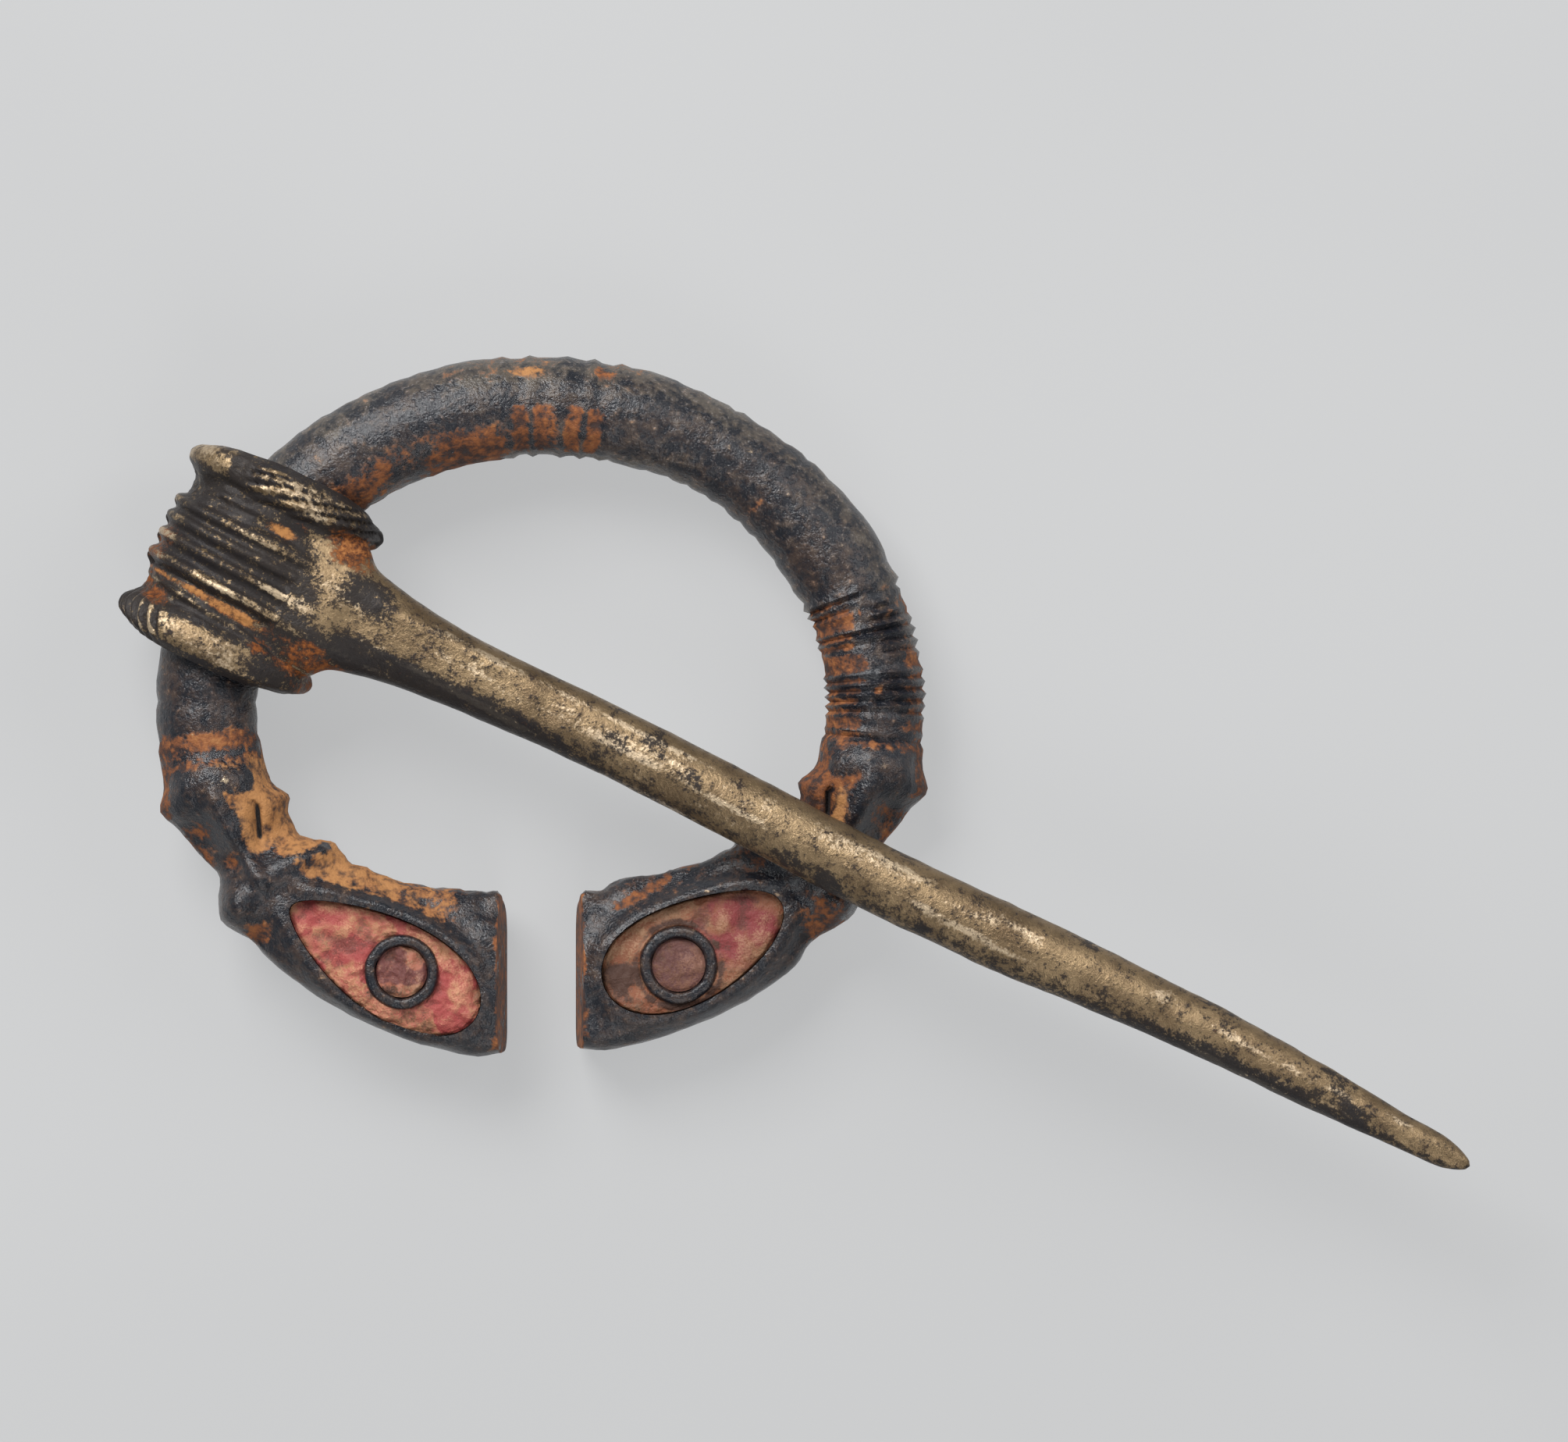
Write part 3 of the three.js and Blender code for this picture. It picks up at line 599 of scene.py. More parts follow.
# Shader work
class Wire:
    """A value socket that takes part in sums."""

    def __init__(self, maker, socket):
        self.maker = maker
        self.socket = socket

    def math(self, operation, *others):
        return self.maker.node("ShaderNodeMath", {"operation": operation}, dict(enumerate((self, *others))))

    def __add__(self, other):
        return self.math("ADD", other)

    def __sub__(self, other):
        return self.math("SUBTRACT", other)

    def __rsub__(self, other):
        return self.maker.node("ShaderNodeMath", {"operation": "SUBTRACT"}, {0: other, 1: self})

    def __mul__(self, other):
        return self.math("MULTIPLY", other)

    __radd__ = __add__
    __rmul__ = __mul__

    def ramp(self, start, end):
        """0 up to start, 1 from end on, smooth between them."""
        settings = {"interpolation_type": "SMOOTHSTEP"}
        inputs = {"Value": self, "From Min": start, "From Max": end}
        return self.maker.node("ShaderNodeMapRange", settings, inputs)

    def most(self, other):
        return self.math("MAXIMUM", other)


class Maker:
    """Builds one material by expressions."""

    def __init__(self, name):
        self.material = bpy.data.materials.new(name)
        self.material.use_nodes = True
        self.tree = self.material.node_tree
        self.shader = self.tree.nodes["Principled BSDF"]
        self.place = self.node("ShaderNodeTexCoord", output="Object")

    def node(self, kind, settings=None, inputs=None, output=0):
        made = self.tree.nodes.new(kind)
        for name, value in (settings or {}).items():
            setattr(made, name, value)
        for name, value in (inputs or {}).items():
            if isinstance(value, Wire):
                self.tree.links.new(value.socket, made.inputs[name])
            else:
                made.inputs[name].default_value = value
        return Wire(self, made.outputs[output])

    def noise(self, size, detail=3.0, roughness=0.55, shift=0.0, stretch=None):
        """Noise whose lumps measure about size millimetres."""
        place = self.place
        if shift or stretch:
            inputs = {"Vector": place, "Location": (shift,) * 3, "Scale": stretch or (1, 1, 1)}
            place = self.node("ShaderNodeMapping", {}, inputs)
        inputs = {"Vector": place, "Scale": 1 / (size * MM), "Detail": detail, "Roughness": roughness}
        return self.node("ShaderNodeTexNoise", {}, inputs)

    def mask(self, name):
        return self.node("ShaderNodeAttribute", {"attribute_name": name}, output="Fac")

    def mix(self, first, second, factor):
        def tint(value):
            return value if isinstance(value, Wire) else (*value[:3], 1)

        inputs = {0: factor, 6: tint(first), 7: tint(second)}
        return self.node("ShaderNodeMix", {"data_type": "RGBA"}, inputs, output=2)

    def feed(self, name, value):
        if isinstance(value, Wire):
            self.tree.links.new(value.socket, self.shader.inputs[name])
        else:
            self.shader.inputs[name].default_value = value

    def relief(self, height, depth):
        """Bump of so many millimetres from a height that runs from 0 to 1."""
        self.feed("Normal", self.node("ShaderNodeBump", {}, {"Height": height, "Distance": depth * MM}))


def uneven(*parts):
    """Noises about nought added up, each by its own amount."""
    return reduce(add, ((wave - 0.5) * amount for wave, amount in parts))


def crust_tone(m, colours, shade, grit):
    """Dark, orange and pale crust, the pale where the ochre mask is."""
    dull = m.mix(colours.crust_dark, colours.crust, shade.ramp(0.0, 0.9))
    return m.mix(dull, colours.crust_pale, (grit * 0.8 + m.mask("ochre")).ramp(0.2, 1.1))


def patina_finish(colours):
    """Glossy near-black skin with orange-brown crust, pale specks of wear and painted sheen, and pale bronze
    for painted highlights.
    """
    m = Maker("dark patina")
    broad, lumps = m.noise(3.0, 3), m.noise(0.8, 4, 0.6)
    small, fine = m.noise(0.4, 3, 0.6, 0.013), m.noise(0.15, 3, 0.6)
    dust = m.mask("dust")
    grit = uneven((lumps, 1.6), (small, 1.4), (fine, 0.8))
    tint = uneven((lumps, 2.2), (broad, 1.4), (small, 1.6))
    # Pale specks, partly wear and partly painted sheen, stronger on the hoop's outer side
    scuffs_and_sheen = uneven((small, 2.2), (fine, 2.2)).ramp(0.2, 0.8) * (dust * 0.9 + 0.3)
    crust = (m.mask("crust") * 1.15 + grit * 0.85).ramp(0.25, 0.85)
    # Painted highlights: pale bronze along the snout ridges, the cells' upper borders and the ribs' crests
    glint = (m.mask("glint") + grit * 0.8).ramp(0.35, 0.75)
    # Painted shade: black in the eye slits, down the enamel cells' walls and along the top's inner edge
    painted_shade = (m.mask("painted_shade") + grit * 0.3).ramp(0.3, 0.75)
    skin = m.mix(colours.patina, colours.patina_brown, (tint * 0.7 + 0.35).ramp(0.1, 0.9))
    skin = m.mix(skin, colours.dust, (dust * 0.85 + tint * 0.45 + grit * 0.4).ramp(0.2, 1.1))
    skin = m.mix(skin, colours.scuffs_and_sheen, scuffs_and_sheen)
    tone = m.mix(skin, crust_tone(m, colours, tint * 1.1 + 0.4, tint), crust)
    tone = m.mix(tone, colours.gold_pale, glint * 0.75)
    m.feed("Base Color", m.mix(tone, colours.painted_shade, painted_shade))
    m.feed("Roughness", (crust * 0.5 + lumps * 0.2 + small * 0.25).most(painted_shade * 0.6))
    m.feed("Metallic", glint * 0.7)
    m.feed("Specular IOR Level", 0.45)
    m.relief(fine * 0.4 + small * 0.6 + lumps * 0.5, 0.14)
    return m.material


def bronze_finish(colours):
    """Worn golden metal, dark in its pits and hollows, with crust in the deepest ones, painted shade on the
    shank's lower side, and pale bronze for wear and painted highlights.
    """
    m = Maker("golden bronze")
    broad, lumps, fine = m.noise(4.0), m.noise(0.9, 4, 0.6), m.noise(0.12, 3, 0.6)
    specks, pepper = m.noise(0.3, 4, 0.7, 0.01), m.noise(0.45, 4, 0.75, 0.031)
    # The dark mask holds the dark metal and also painted shade on the shank's lower side, its underside and
    # in the rope cuts
    dark = m.mask("dark")
    grit = uneven((lumps, 1.5), (specks, 2.2))
    pits = (grit * 1.1 + uneven((pepper, 1.6), (fine, 1.4)) + dark + 0.17).ramp(0.2, 0.8)
    crust = (m.mask("crust") + grit * 0.6).ramp(0.25, 0.85)
    metal = m.mix(colours.gold, colours.gold_dark, (broad * 0.7 + lumps * 0.5).ramp(0.45, 0.8))
    metal = m.mix(metal, colours.gold_pale, (uneven((specks, -2.5)) + m.mask("glint")).ramp(0.3, 1.0) * 0.7)
    tone = m.mix(metal, m.mix(colours.pits, colours.patina, dark.ramp(0.3, 0.9)), pits * 0.92)
    m.feed("Base Color", m.mix(tone, crust_tone(m, colours, grit + 0.5, grit), crust))
    m.feed("Roughness", (lumps * 0.3 + fine * 0.2 + 0.12).most(crust * 0.75))
    m.feed("Metallic", (1 - pits * 0.85) * (1 - crust) * 0.8)
    m.feed("Specular IOR Level", 0.16)
    m.relief(fine * 0.2 + specks * 0.6 + lumps * 0.4, 0.12)
    return m.material


def enamel_finish(name, base, second, patch, darks):
    """Rough decayed enamel: two colours mottled, a patch of a third and dark stains, with a painted highlight
    on the high lumps and darker where it lies low.
    """
    m = Maker(name)
    broad, lumps, fine = m.noise(1.8, 3, 0.6, 0.02), m.noise(0.6, 4, 0.65), m.noise(0.12, 3, 0.6)
    crest = m.mask("crest")
    grit = uneven((lumps, 1.8), (fine, 1.2))
    # A lighter copy of the second colour, for painted highlights
    pale = tuple(min(1, c * 1.4 + 0.03) for c in second)
    tone = m.mix(base, second, (grit + uneven((broad, 1.5))).ramp(-0.25, 0.3))
    tone = m.mix(tone, patch, (m.mask("patch") + grit * 0.6).ramp(0.25, 0.8))
    # Painted highlight: paler on the high lumps, as the crest mask follows the face's height
    tone = m.mix(tone, pale, (uneven((fine, 1.4)) + crest * 0.8).ramp(0.45, 1.0) * 0.6)
    # Darker where the enamel lies low
    tone = m.mix(tone, darks, (0.45 - crest + (fine - 0.5)).ramp(0.05, 0.5) * 0.6)
    m.feed("Base Color", m.mix(tone, darks, (m.mask("stain") + grit * 0.6).ramp(0.3, 0.8)))
    m.feed("Roughness", lumps * 0.3 + 0.45)
    m.feed("Specular IOR Level", 0.4)
    m.relief(fine * 0.3 + lumps, 0.16)
    return m.material


def floor_finish(colours):
    """Pale grey that is lit from within as well, so shadows on it are faint."""
    m = Maker("pale floor")
    tone = m.mix(colours.floor, tuple(c * 0.96 for c in colours.floor), m.noise(90, 2).ramp(0.4, 0.6))
    m.feed("Base Color", (0.12, 0.12, 0.12, 1))
    m.feed("Roughness", 0.9)
    m.feed("Emission Color", tone)
    m.feed("Emission Strength", 0.81)
    m.feed("Specular IOR Level", 0.0)
    return m.material


class BROOCH_OT_stage(Operator):
    """Lay the floor, hang the soft lights and set the camera over the brooch"""

    bl_idname = "brooch.stage"
    bl_label = "Stage"

    def execute(self, context):
        form = Form(context.scene.brooch_sizes)
        deselect()
        bpy.ops.mesh.primitive_plane_add(size=3, location=(0, 0, -0.00002))
        floor = context.object
        floor.name = "floor"
        bpy.ops.object.transform_apply(location=True, rotation=True, scale=True)
        floor.data.materials.append(floor_finish(context.scene.brooch_colours))
        floor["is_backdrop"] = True
        middle = form.lie @ Vector(VIEW_MIDDLE)
        for light in LIGHTS:
            self.hang(context, middle, *light)
        world = context.scene.world or bpy.data.worlds.new("room")
        context.scene.world = world
        world.use_nodes = True
        world.node_tree.nodes["Background"].inputs["Color"].default_value = (0.9, 0.95, 1, 1)
        world.node_tree.nodes["Background"].inputs["Strength"].default_value = 0.3
        self.set_camera(context, middle, form.lie.to_3x3().normalized())
        context.scene.view_settings.view_transform = "Standard"
        return {"FINISHED"}

    def hang(self, context, middle, name, direction, size, power):
        data = bpy.data.lights.new(name, "AREA")
        data.energy = power
        data.size = size
        lamp = bpy.data.objects.new(name, data)
        context.collection.objects.link(lamp)
        direction = Vector(direction).normalized()
        lamp.location = middle + direction * LIGHT_AWAY
        lamp.rotation_euler = direction.to_track_quat("Z", "Y").to_euler()

    def set_camera(self, context, middle, towards):
        """Straight over the front of the hoop, so far that the picture is as wide as the photograph."""
        data = bpy.data.cameras.new("camera")
        camera = bpy.data.objects.new("camera", data)
        context.collection.objects.link(camera)
        data.sensor_fit = "HORIZONTAL"
        data.lens = data.sensor_width * CAMERA_AWAY / PICTURE_WIDTH
        over = middle + towards @ Vector((0, 0, CAMERA_AWAY))
        camera.matrix_world = Matrix.Translation(over) @ towards.to_4x4()
        context.scene.camera = camera


class BROOCH_OT_ring(Operator):
    """Shape the hoop and its two animal-head terminals"""

    bl_idname = "brooch.ring"
    bl_label = "Ring"

    TOOL_HEIGHT = 5
    RESERVED_AROUND = 128
    RESERVED_SECTION = 24

    def execute(self, context):
        form = Form(context.scene.brooch_sizes)
        detail = context.scene.brooch_detail
        obj, turn, roll = torus("hoop_and_terminals", detail.hoop_stations, detail.hoop_around)
        degrees = self.stations(detail.hoop_stations)
        angles = self.section_angles(form, degrees, detail.hoop_around)
        self.shape(obj, form, degrees[turn], angles[turn, roll])
        self.open_gap(obj, form, detail.hoop_around)
        self.cut_cells(obj, form)
        self.stand_rings(obj, form)
        self.mark(obj, form)
        material = patina_finish(context.scene.brooch_colours)
        finish_piece(obj, form, "hoop", material, ["ring"], "dark_bronze")
        return {"FINISHED"}

    def stations(self, count):
        """Degrees round the hoop, closer together where it is ribbed and carved."""
        fine = np.linspace(GAP_MIDDLE - 357, GAP_MIDDLE - 3, 8000)
        weight = 1 + 0.35 * window(from_gap(fine), 52, 80, 2) + 0.7 * window(fine, -6, 20, 2)
        total = np.cumsum(weight)
        return np.interp(np.linspace(total[0], total[-1], count), total, fine)

    def section_angles(self, form, degrees, count):
        """Angles round each section that space its points evenly, twice as close in front as behind."""
        t = np.linspace(0, 2 * np.pi, 481)
        degree = degrees[:, None]
        v = np.broadcast_to(-np.cos(t), (len(degrees), len(t)))
        height = np.where(t <= np.pi, form.front_height(degree, v), form.back_height(degree, v))
        half = (form.outer_radius(degree) - form.inner_radius(degree)) / 2
        step = np.hypot(np.diff(v * half, axis=1), np.diff(height, axis=1))
        step *= np.where(t[1:] <= np.pi, 2.2, 1)
        total = np.concatenate([np.zeros((len(degrees), 1)), np.cumsum(step, axis=1)], axis=1)
        wanted = np.arange(count) / count
        return np.array([np.interp(wanted * row[-1], row, t) for row in total])

    def shape(self, obj, form, degree, t):
        s, left, v = from_gap(degree), is_left(degree), -np.cos(t)
        front = t <= np.pi
        angle = np.radians(degree)
        flat = columns(np.cos(angle), np.sin(angle), v * 0.12) * 21
        waver = 0.4 * grain(flat, 2.1, 14) * smooth(np.abs(degree - 43), 43, 30)
        groove = form.rib_depth * form.ribs(degree + waver)
        groove *= np.clip(0.9 + 0.35 * grain(flat * [1, 1, 3], 1.4, 15), 0.2, 1.2)
        worn = smooth(s, 72, 60) * smooth(s, 10, 20) * np.where(left, 1, 0.35)
        inner = form.inner_radius(degree) + groove + worn * (0.26 * layered(flat, 1.6, 4, 5) + 0.05)
        outer = form.outer_radius(degree) - groove
        outer += 0.07 * layered(flat, 1.7, 3, 6) * smooth(s, RIBS_START, 60)
        outer -= np.where(left, 0.2 * bump(s, 50.5, 1.8), 0.6 * bump(s, 49.0, 3.5))
        height = np.where(front, form.front_height(degree, v), form.back_height(degree, v))
        height *= 1 - groove / (form.bar / 2) * (form.plateness(s) < 0.5)
        radius = (inner + outer) / 2 + (outer - inner) / 2 * v
        points = columns(np.cos(angle) * radius, np.sin(angle) * radius, height)
        points[:, 2] += self.head_relief(form, points, v) * front
        points[:, 2] += self.cell_border(form, points, front)
        shape_to(obj, points)
        rough = 0.03 * layered(points, 1.1, 3, 1) + 0.018 * grain(points, 0.33, 9)
        crusted = smooth(v, -0.3, -0.8) * smooth(s, 92, 80) * front
        rough += crusted * 0.1 * layered(points, 0.9, 4, 3)
        upper = smooth(v, -0.35, -0.75) * window(degree, 60, 146, 8)
        rough += upper * 0.06 * layered(points, 0.8, 3, 8)
        rough += front * 0.03 * layered(points, 0.7, 3, 12) * (s < 86)
        flat_back = ~front & (form.plateness(s) > 0.5)
        rough = np.where(front, rough, np.minimum(rough, 0))
        roughen(obj, points, np.where(flat_back, 0, rough))

    def as_left(self, form, points):
        """The place of each point on the left terminal, which the right one mirrors a little shifted."""
        degree = np.degrees(np.arctan2(points[:, 1], points[:, 0]))
        right = ~is_left(degree)
        radius = np.hypot(points[:, 0], points[:, 1]) + 0.85 * smooth(from_gap(degree), 60, 45) * right
        angle = np.radians(GAP_MIDDLE - form.on_head(degree))
        return radius * np.cos(angle), radius * np.sin(angle)

    def head_relief(self, form, points, v):
        """Height of the ridges, lids and hollows of both animal heads, with no peak where ridges meet."""
        x, y = self.as_left(form, points)
        raised, sunk = np.zeros(len(points)), np.zeros(len(points))
        for line, width, rise in HEAD_RELIEF:
            height = rise * follow(x, y, line, width)
            raised += np.maximum(height, 0) ** 3
            sunk += np.minimum(height, 0)
        return (np.cbrt(raised) + sunk) * smooth(np.abs(v), 1, 0.9) * (points[:, 1] < 0)

    def from_cells(self, form, points, chosen, inset):
        """For each cell, which of the chosen points are beside it, and how far they are from its outline."""
        for side in SIDES.values():
            near = chosen & (np.sign(points[:, 0]) == side["sign"]) & (points[:, 1] < CELLS_BELOW)
            gap = points[near, None, :2] - form.almond(side, inset, CELL_POINTS)[None]
            yield near, np.sqrt((gap**2).sum(axis=2)).min(axis=1)

    def cell_border(self, form, points, front):
        """Height of the rounded border that stands round each enamel cell."""
        raised = np.zeros(len(points))
        for near, away in self.from_cells(form, points, front, 0):
            raised[near] += 0.34 * bump(away, 0.35, 0.5) - 0.12 * bump(away, 1.4, 0.45)
        return raised

    # A painted highlight along the upper side of each cell's border
    def painted_border_highlight(self, form, points):
        glint = np.zeros(len(points))
        for near, away in self.from_cells(form, points, points[:, 2] > 1, -0.3):
            glint[near] = bump(away, 0, 0.12) * smooth(points[near, 1], -17, -14)
        return glint

    def open_gap(self, obj, form, section):
        """Cuts both ends square to the gap, a little wider in front."""
        count = len(obj.data.polygons)
        select_only(obj, "FACE", np.arange(count) >= count - section)
        bpy.ops.mesh.delete(type="ONLY_FACE")
        tilt = Vector((0, 0, form.plate_front + form.plate_back))
        for sign in (-1, 1):
            bpy.ops.object.mode_set(mode="OBJECT")
            centres = rows_of(obj.data.polygons, "center")
            from_middle = centres[:, 0] * sign
            select_only(obj, "FACE", (centres[:, 1] < CELLS_BELOW) & (from_middle > 0) & (from_middle < 6))
            tilt.x = sign * (form.gap_front - form.gap_back) / 2
            normal = tilt.cross(Vector((0, 1, 0))).normalized()
            bpy.ops.mesh.bisect(
                plane_co=(sign * form.gap_back / 2, 0, -form.plate_back),
                plane_no=normal if normal.x * sign < 0 else -normal,
                use_fill=True,
                clear_outer=True,
            )
        bpy.ops.object.mode_set(mode="OBJECT")

    def cut_cells(self, obj, form):
        tools = []
        for side in SIDES.values():
            deselect()
            bpy.ops.mesh.primitive_circle_add(vertices=CELL_POINTS, fill_type="NGON")
            tool = bpy.context.object
            x, y = form.almond(side, 0, CELL_POINTS).T
            move_points(tool, columns(x, y, form.cell_floor))
            bpy.ops.object.mode_set(mode="EDIT")
            bpy.ops.mesh.select_all(action="SELECT")
            bpy.ops.mesh.extrude_region_move(TRANSFORM_OT_translate={"value": (0, 0, self.TOOL_HEIGHT)})
            bpy.ops.object.mode_set(mode="OBJECT")
            face_outwards(tool)
            tools.append(tool)
        cut(obj, joined(tools), "DIFFERENCE")

    def stand_rings(self, obj, form):
        """The reserved rings of metal in the enamel, rounded on top."""
        tools = []
        for name, side in SIDES.items():
            spec = side["ring"]
            tool, turn, roll = torus(f"reserved_{name}", self.RESERVED_AROUND, self.RESERVED_SECTION)
            angle = turn / self.RESERVED_AROUND * 2 * np.pi
            t = roll / self.RESERVED_SECTION * 2 * np.pi
            c, s = np.cos(angle), np.sin(angle)
            middle = (spec["outer"] + spec["inner"]) / 4 + 0.06 * grain(columns(c * 2, s * 2, 0), 0.8, 4)
            radius = middle + (spec["outer"] - spec["inner"]) / 4 * squared(np.cos(t), 0.7)
            at = form.ring_middle(side)
            x, y = at[0] + radius * c, at[1] + radius * s
            degree, v = form.across(x, y)
            top = form.front_height(degree, np.clip(v, -1, 1)) - 0.05
            low = form.cell_floor - 0.2
            height = (top + low) / 2 + (top - low) / 2 * squared(np.sin(t), 0.6)
            shape_to(tool, columns(x, y, height))
            tools.append(tool)
        cut(obj, joined(tools), "UNION")

    def mark(self, obj, form):
        """Masks for crust, ochre, dust, painted highlights and painted shade, from each point's place on the
        hoop.
        """
        p = points_of(obj)
        px, py, pz = p.T
        degree, v = form.across(px, py)
        s, left, v = from_gap(degree), is_left(degree), np.clip(v, -1, 1)
        x, y = self.as_left(form, p)
        front, on_terminal = pz > -0.5, s < RIBS_START
        broad, fine = layered(p, 3.5, 3, 11), layered(p, 1.0, 3, 13)
        grooves, head = form.ribs(degree), form.on_head(degree)
        ribs = smooth(grooves, 0.25, 0.6)
        gate = smooth(grain(columns(degree * 0.37, 0, 0), 1.0, 17), -0.25, 0.25)

        def near(line, width):
            return follow(x, y, line, width)

        # Crust in the grooves over the right head, in the collars, across the top and on the heads' flanks
        strong = window(degree, -6, 19, 3)
        inner = smooth(v, -0.1 + 0.25 * fine, -0.35) * smooth(v, -0.97, -0.85)
        outer = smooth(v, 0.42 + 0.3 * fine, 0.65) * (0.55 + 0.6 * broad + 0.3 * (degree < 8))
        ribbed = strong * (ribs * 1.25 - 0.08) * (inner + outer) + 0.3 * strong * smooth(v, -0.7, -0.9)
        collar = window(s, 79.5, 84.8 + 2 * broad, 0.8) * (0.72 + 0.5 * fine)
        collar *= 1 - 0.6 * bump(s, CREASE + 0.4, 0.35)
        top = window(degree, 70, 102, 6)
        stripes = top * smooth(grooves, 0.3, 0.5) * smooth(v, 0.1, -0.1) * smooth(v, -0.95, -0.78)
        stripes = stripes * (0.75 + 0.35 * gate) + 0.1 * top * bump(v, -0.5, 0.35)
        streaks = window(degree, 28, 66, 5) * ribs * gate
        streaks *= np.maximum(1.1 * bump(v, -0.5, 0.3), 0.35 * bump(v, 0.55, 0.15))
        upper = window(degree, 99, 150, 6) * smooth(v, -0.2, -0.6) * (0.22 + 0.6 * broad + 0.45 * fine)
        upper += 0.35 * window(degree, 98, 148, 8) * smooth(v, 0.0, -0.4)
        flank = smooth(v, -0.3, -0.5) * window(s, 22, 80, 3)
        flank *= np.where(left, 1.0 + 0.4 * fine + 0.2 * broad, 0.35 + 0.5 * broad)
        flank = np.maximum(flank, smooth(v, 0.1, -0.2) * window(s, 62, 80, 1.5) * (0.9 + 0.3 * fine))
        flank *= 1 - 0.5 * smooth(s, 44, 28)
        cheek = 0.8 * window(head, 73, 81, 1) * smooth(v, 0.7, 0.9)
        brow = 0.6 * window(head, 64, 71, 1) * smooth(v, 0.75, 0.9)
        crust = highest(ribbed, collar, stripes, streaks, upper, flank, cheek, brow)
        # None on the rubbed ridges
        ridges = highest(0.75 * near(INNER_ARM, 0.45), *(near(*ridge) for ridge in RUBBED_RIDGES))
        crust *= 1 - smooth(ridges * on_terminal, 0.35, 0.75)
        # Spots and patches of it
        spots = highest(*(amount * near([place], size) for place, size, amount in CRUST_SPOTS))
        streak = follow(px, py, [(5.2, -13.0), (8.3, -11.2)], 0.35)
        rough_patch = 0.75 * spot(px, py, (18.6, -13.7), 1.7)
        orange_spot = spot(px, py, (4.2, 21.7), 0.55)
        tan_patch = 0.8 * bump(px, -0.7, 1.4) * bump(py, 21.9, 0.4)
        brown_top = 0.35 * smooth(v, 0.4, 0.85) * window(degree, 70, 122, 8) * (0.4 + broad)
        lid = near(EYE_LID, 0.45) * on_terminal
        patches = (streak, rough_patch, orange_spot, tan_patch, brown_top, lid)
        crust = highest(crust, spots * on_terminal, *patches)
        crust = np.where(front, crust, 0.3 + 0.35 * broad)
        # And all over the cut ends
        lean = (pz + form.plate_back) / (form.plate_front + form.plate_back)
        from_end = np.abs(px) - (form.gap_back + (form.gap_front - form.gap_back) * lean) / 2
        crust = np.maximum(crust, (0.85 + 0.4 * fine) * (from_end < 0.02) * on_terminal)
        paint(obj, "crust", crust)
        ochre = 0.8 * flank * left + 0.15 * collar + 1.1 * lid + 0.15 * strong + 0.4 * brown_top + tan_patch
        paint(obj, "ochre", ochre)
        dust = (0.3 + 0.7 * smooth(v, 0.2, 0.85)) * window(degree, 2, 150, 8)
        dust += 0.5 * smooth(v, -0.75, -0.95) * ~on_terminal + 0.7 * spot(px, py, (-3.7, -14.3), 1.4) * ~left
        paint(obj, "dust", dust * (0.75 + 0.5 * broad + 0.3 * fine))
        # Painted highlights along the snout ridge, the cells' upper borders and the crests of the ribs
        painted_hoop_highlights = 0.45 * near([(-22.0, -4.7), (-20.4, -4.9)], 0.35) * on_terminal
        painted_hoop_highlights += 0.35 * self.painted_border_highlight(form, p)
        painted_hoop_highlights += 0.35 * window(degree, 8, 60, 6) * smooth(grooves, 0.3, 0.05) * bump(v, 0.35, 0.2)
        paint(obj, "glint", painted_hoop_highlights * (0.6 + 0.7 * fine) * front)
        # Painted shade: black at the bottom of the eye slits, where the surface sinks into the cells, and
        # along the top's inner edge
        slit = near(EYE_SLOT, 0.22) * on_terminal
        cell = smooth(form.front_height(degree, v) - pz, 0.35, 0.6) * front * (np.abs(v) < 0.8) * (s < 50)
        paint(obj, "painted_shade", 0.95 * np.maximum(slit, cell) + 0.4 * smooth(v, -0.9, -0.98) * top)


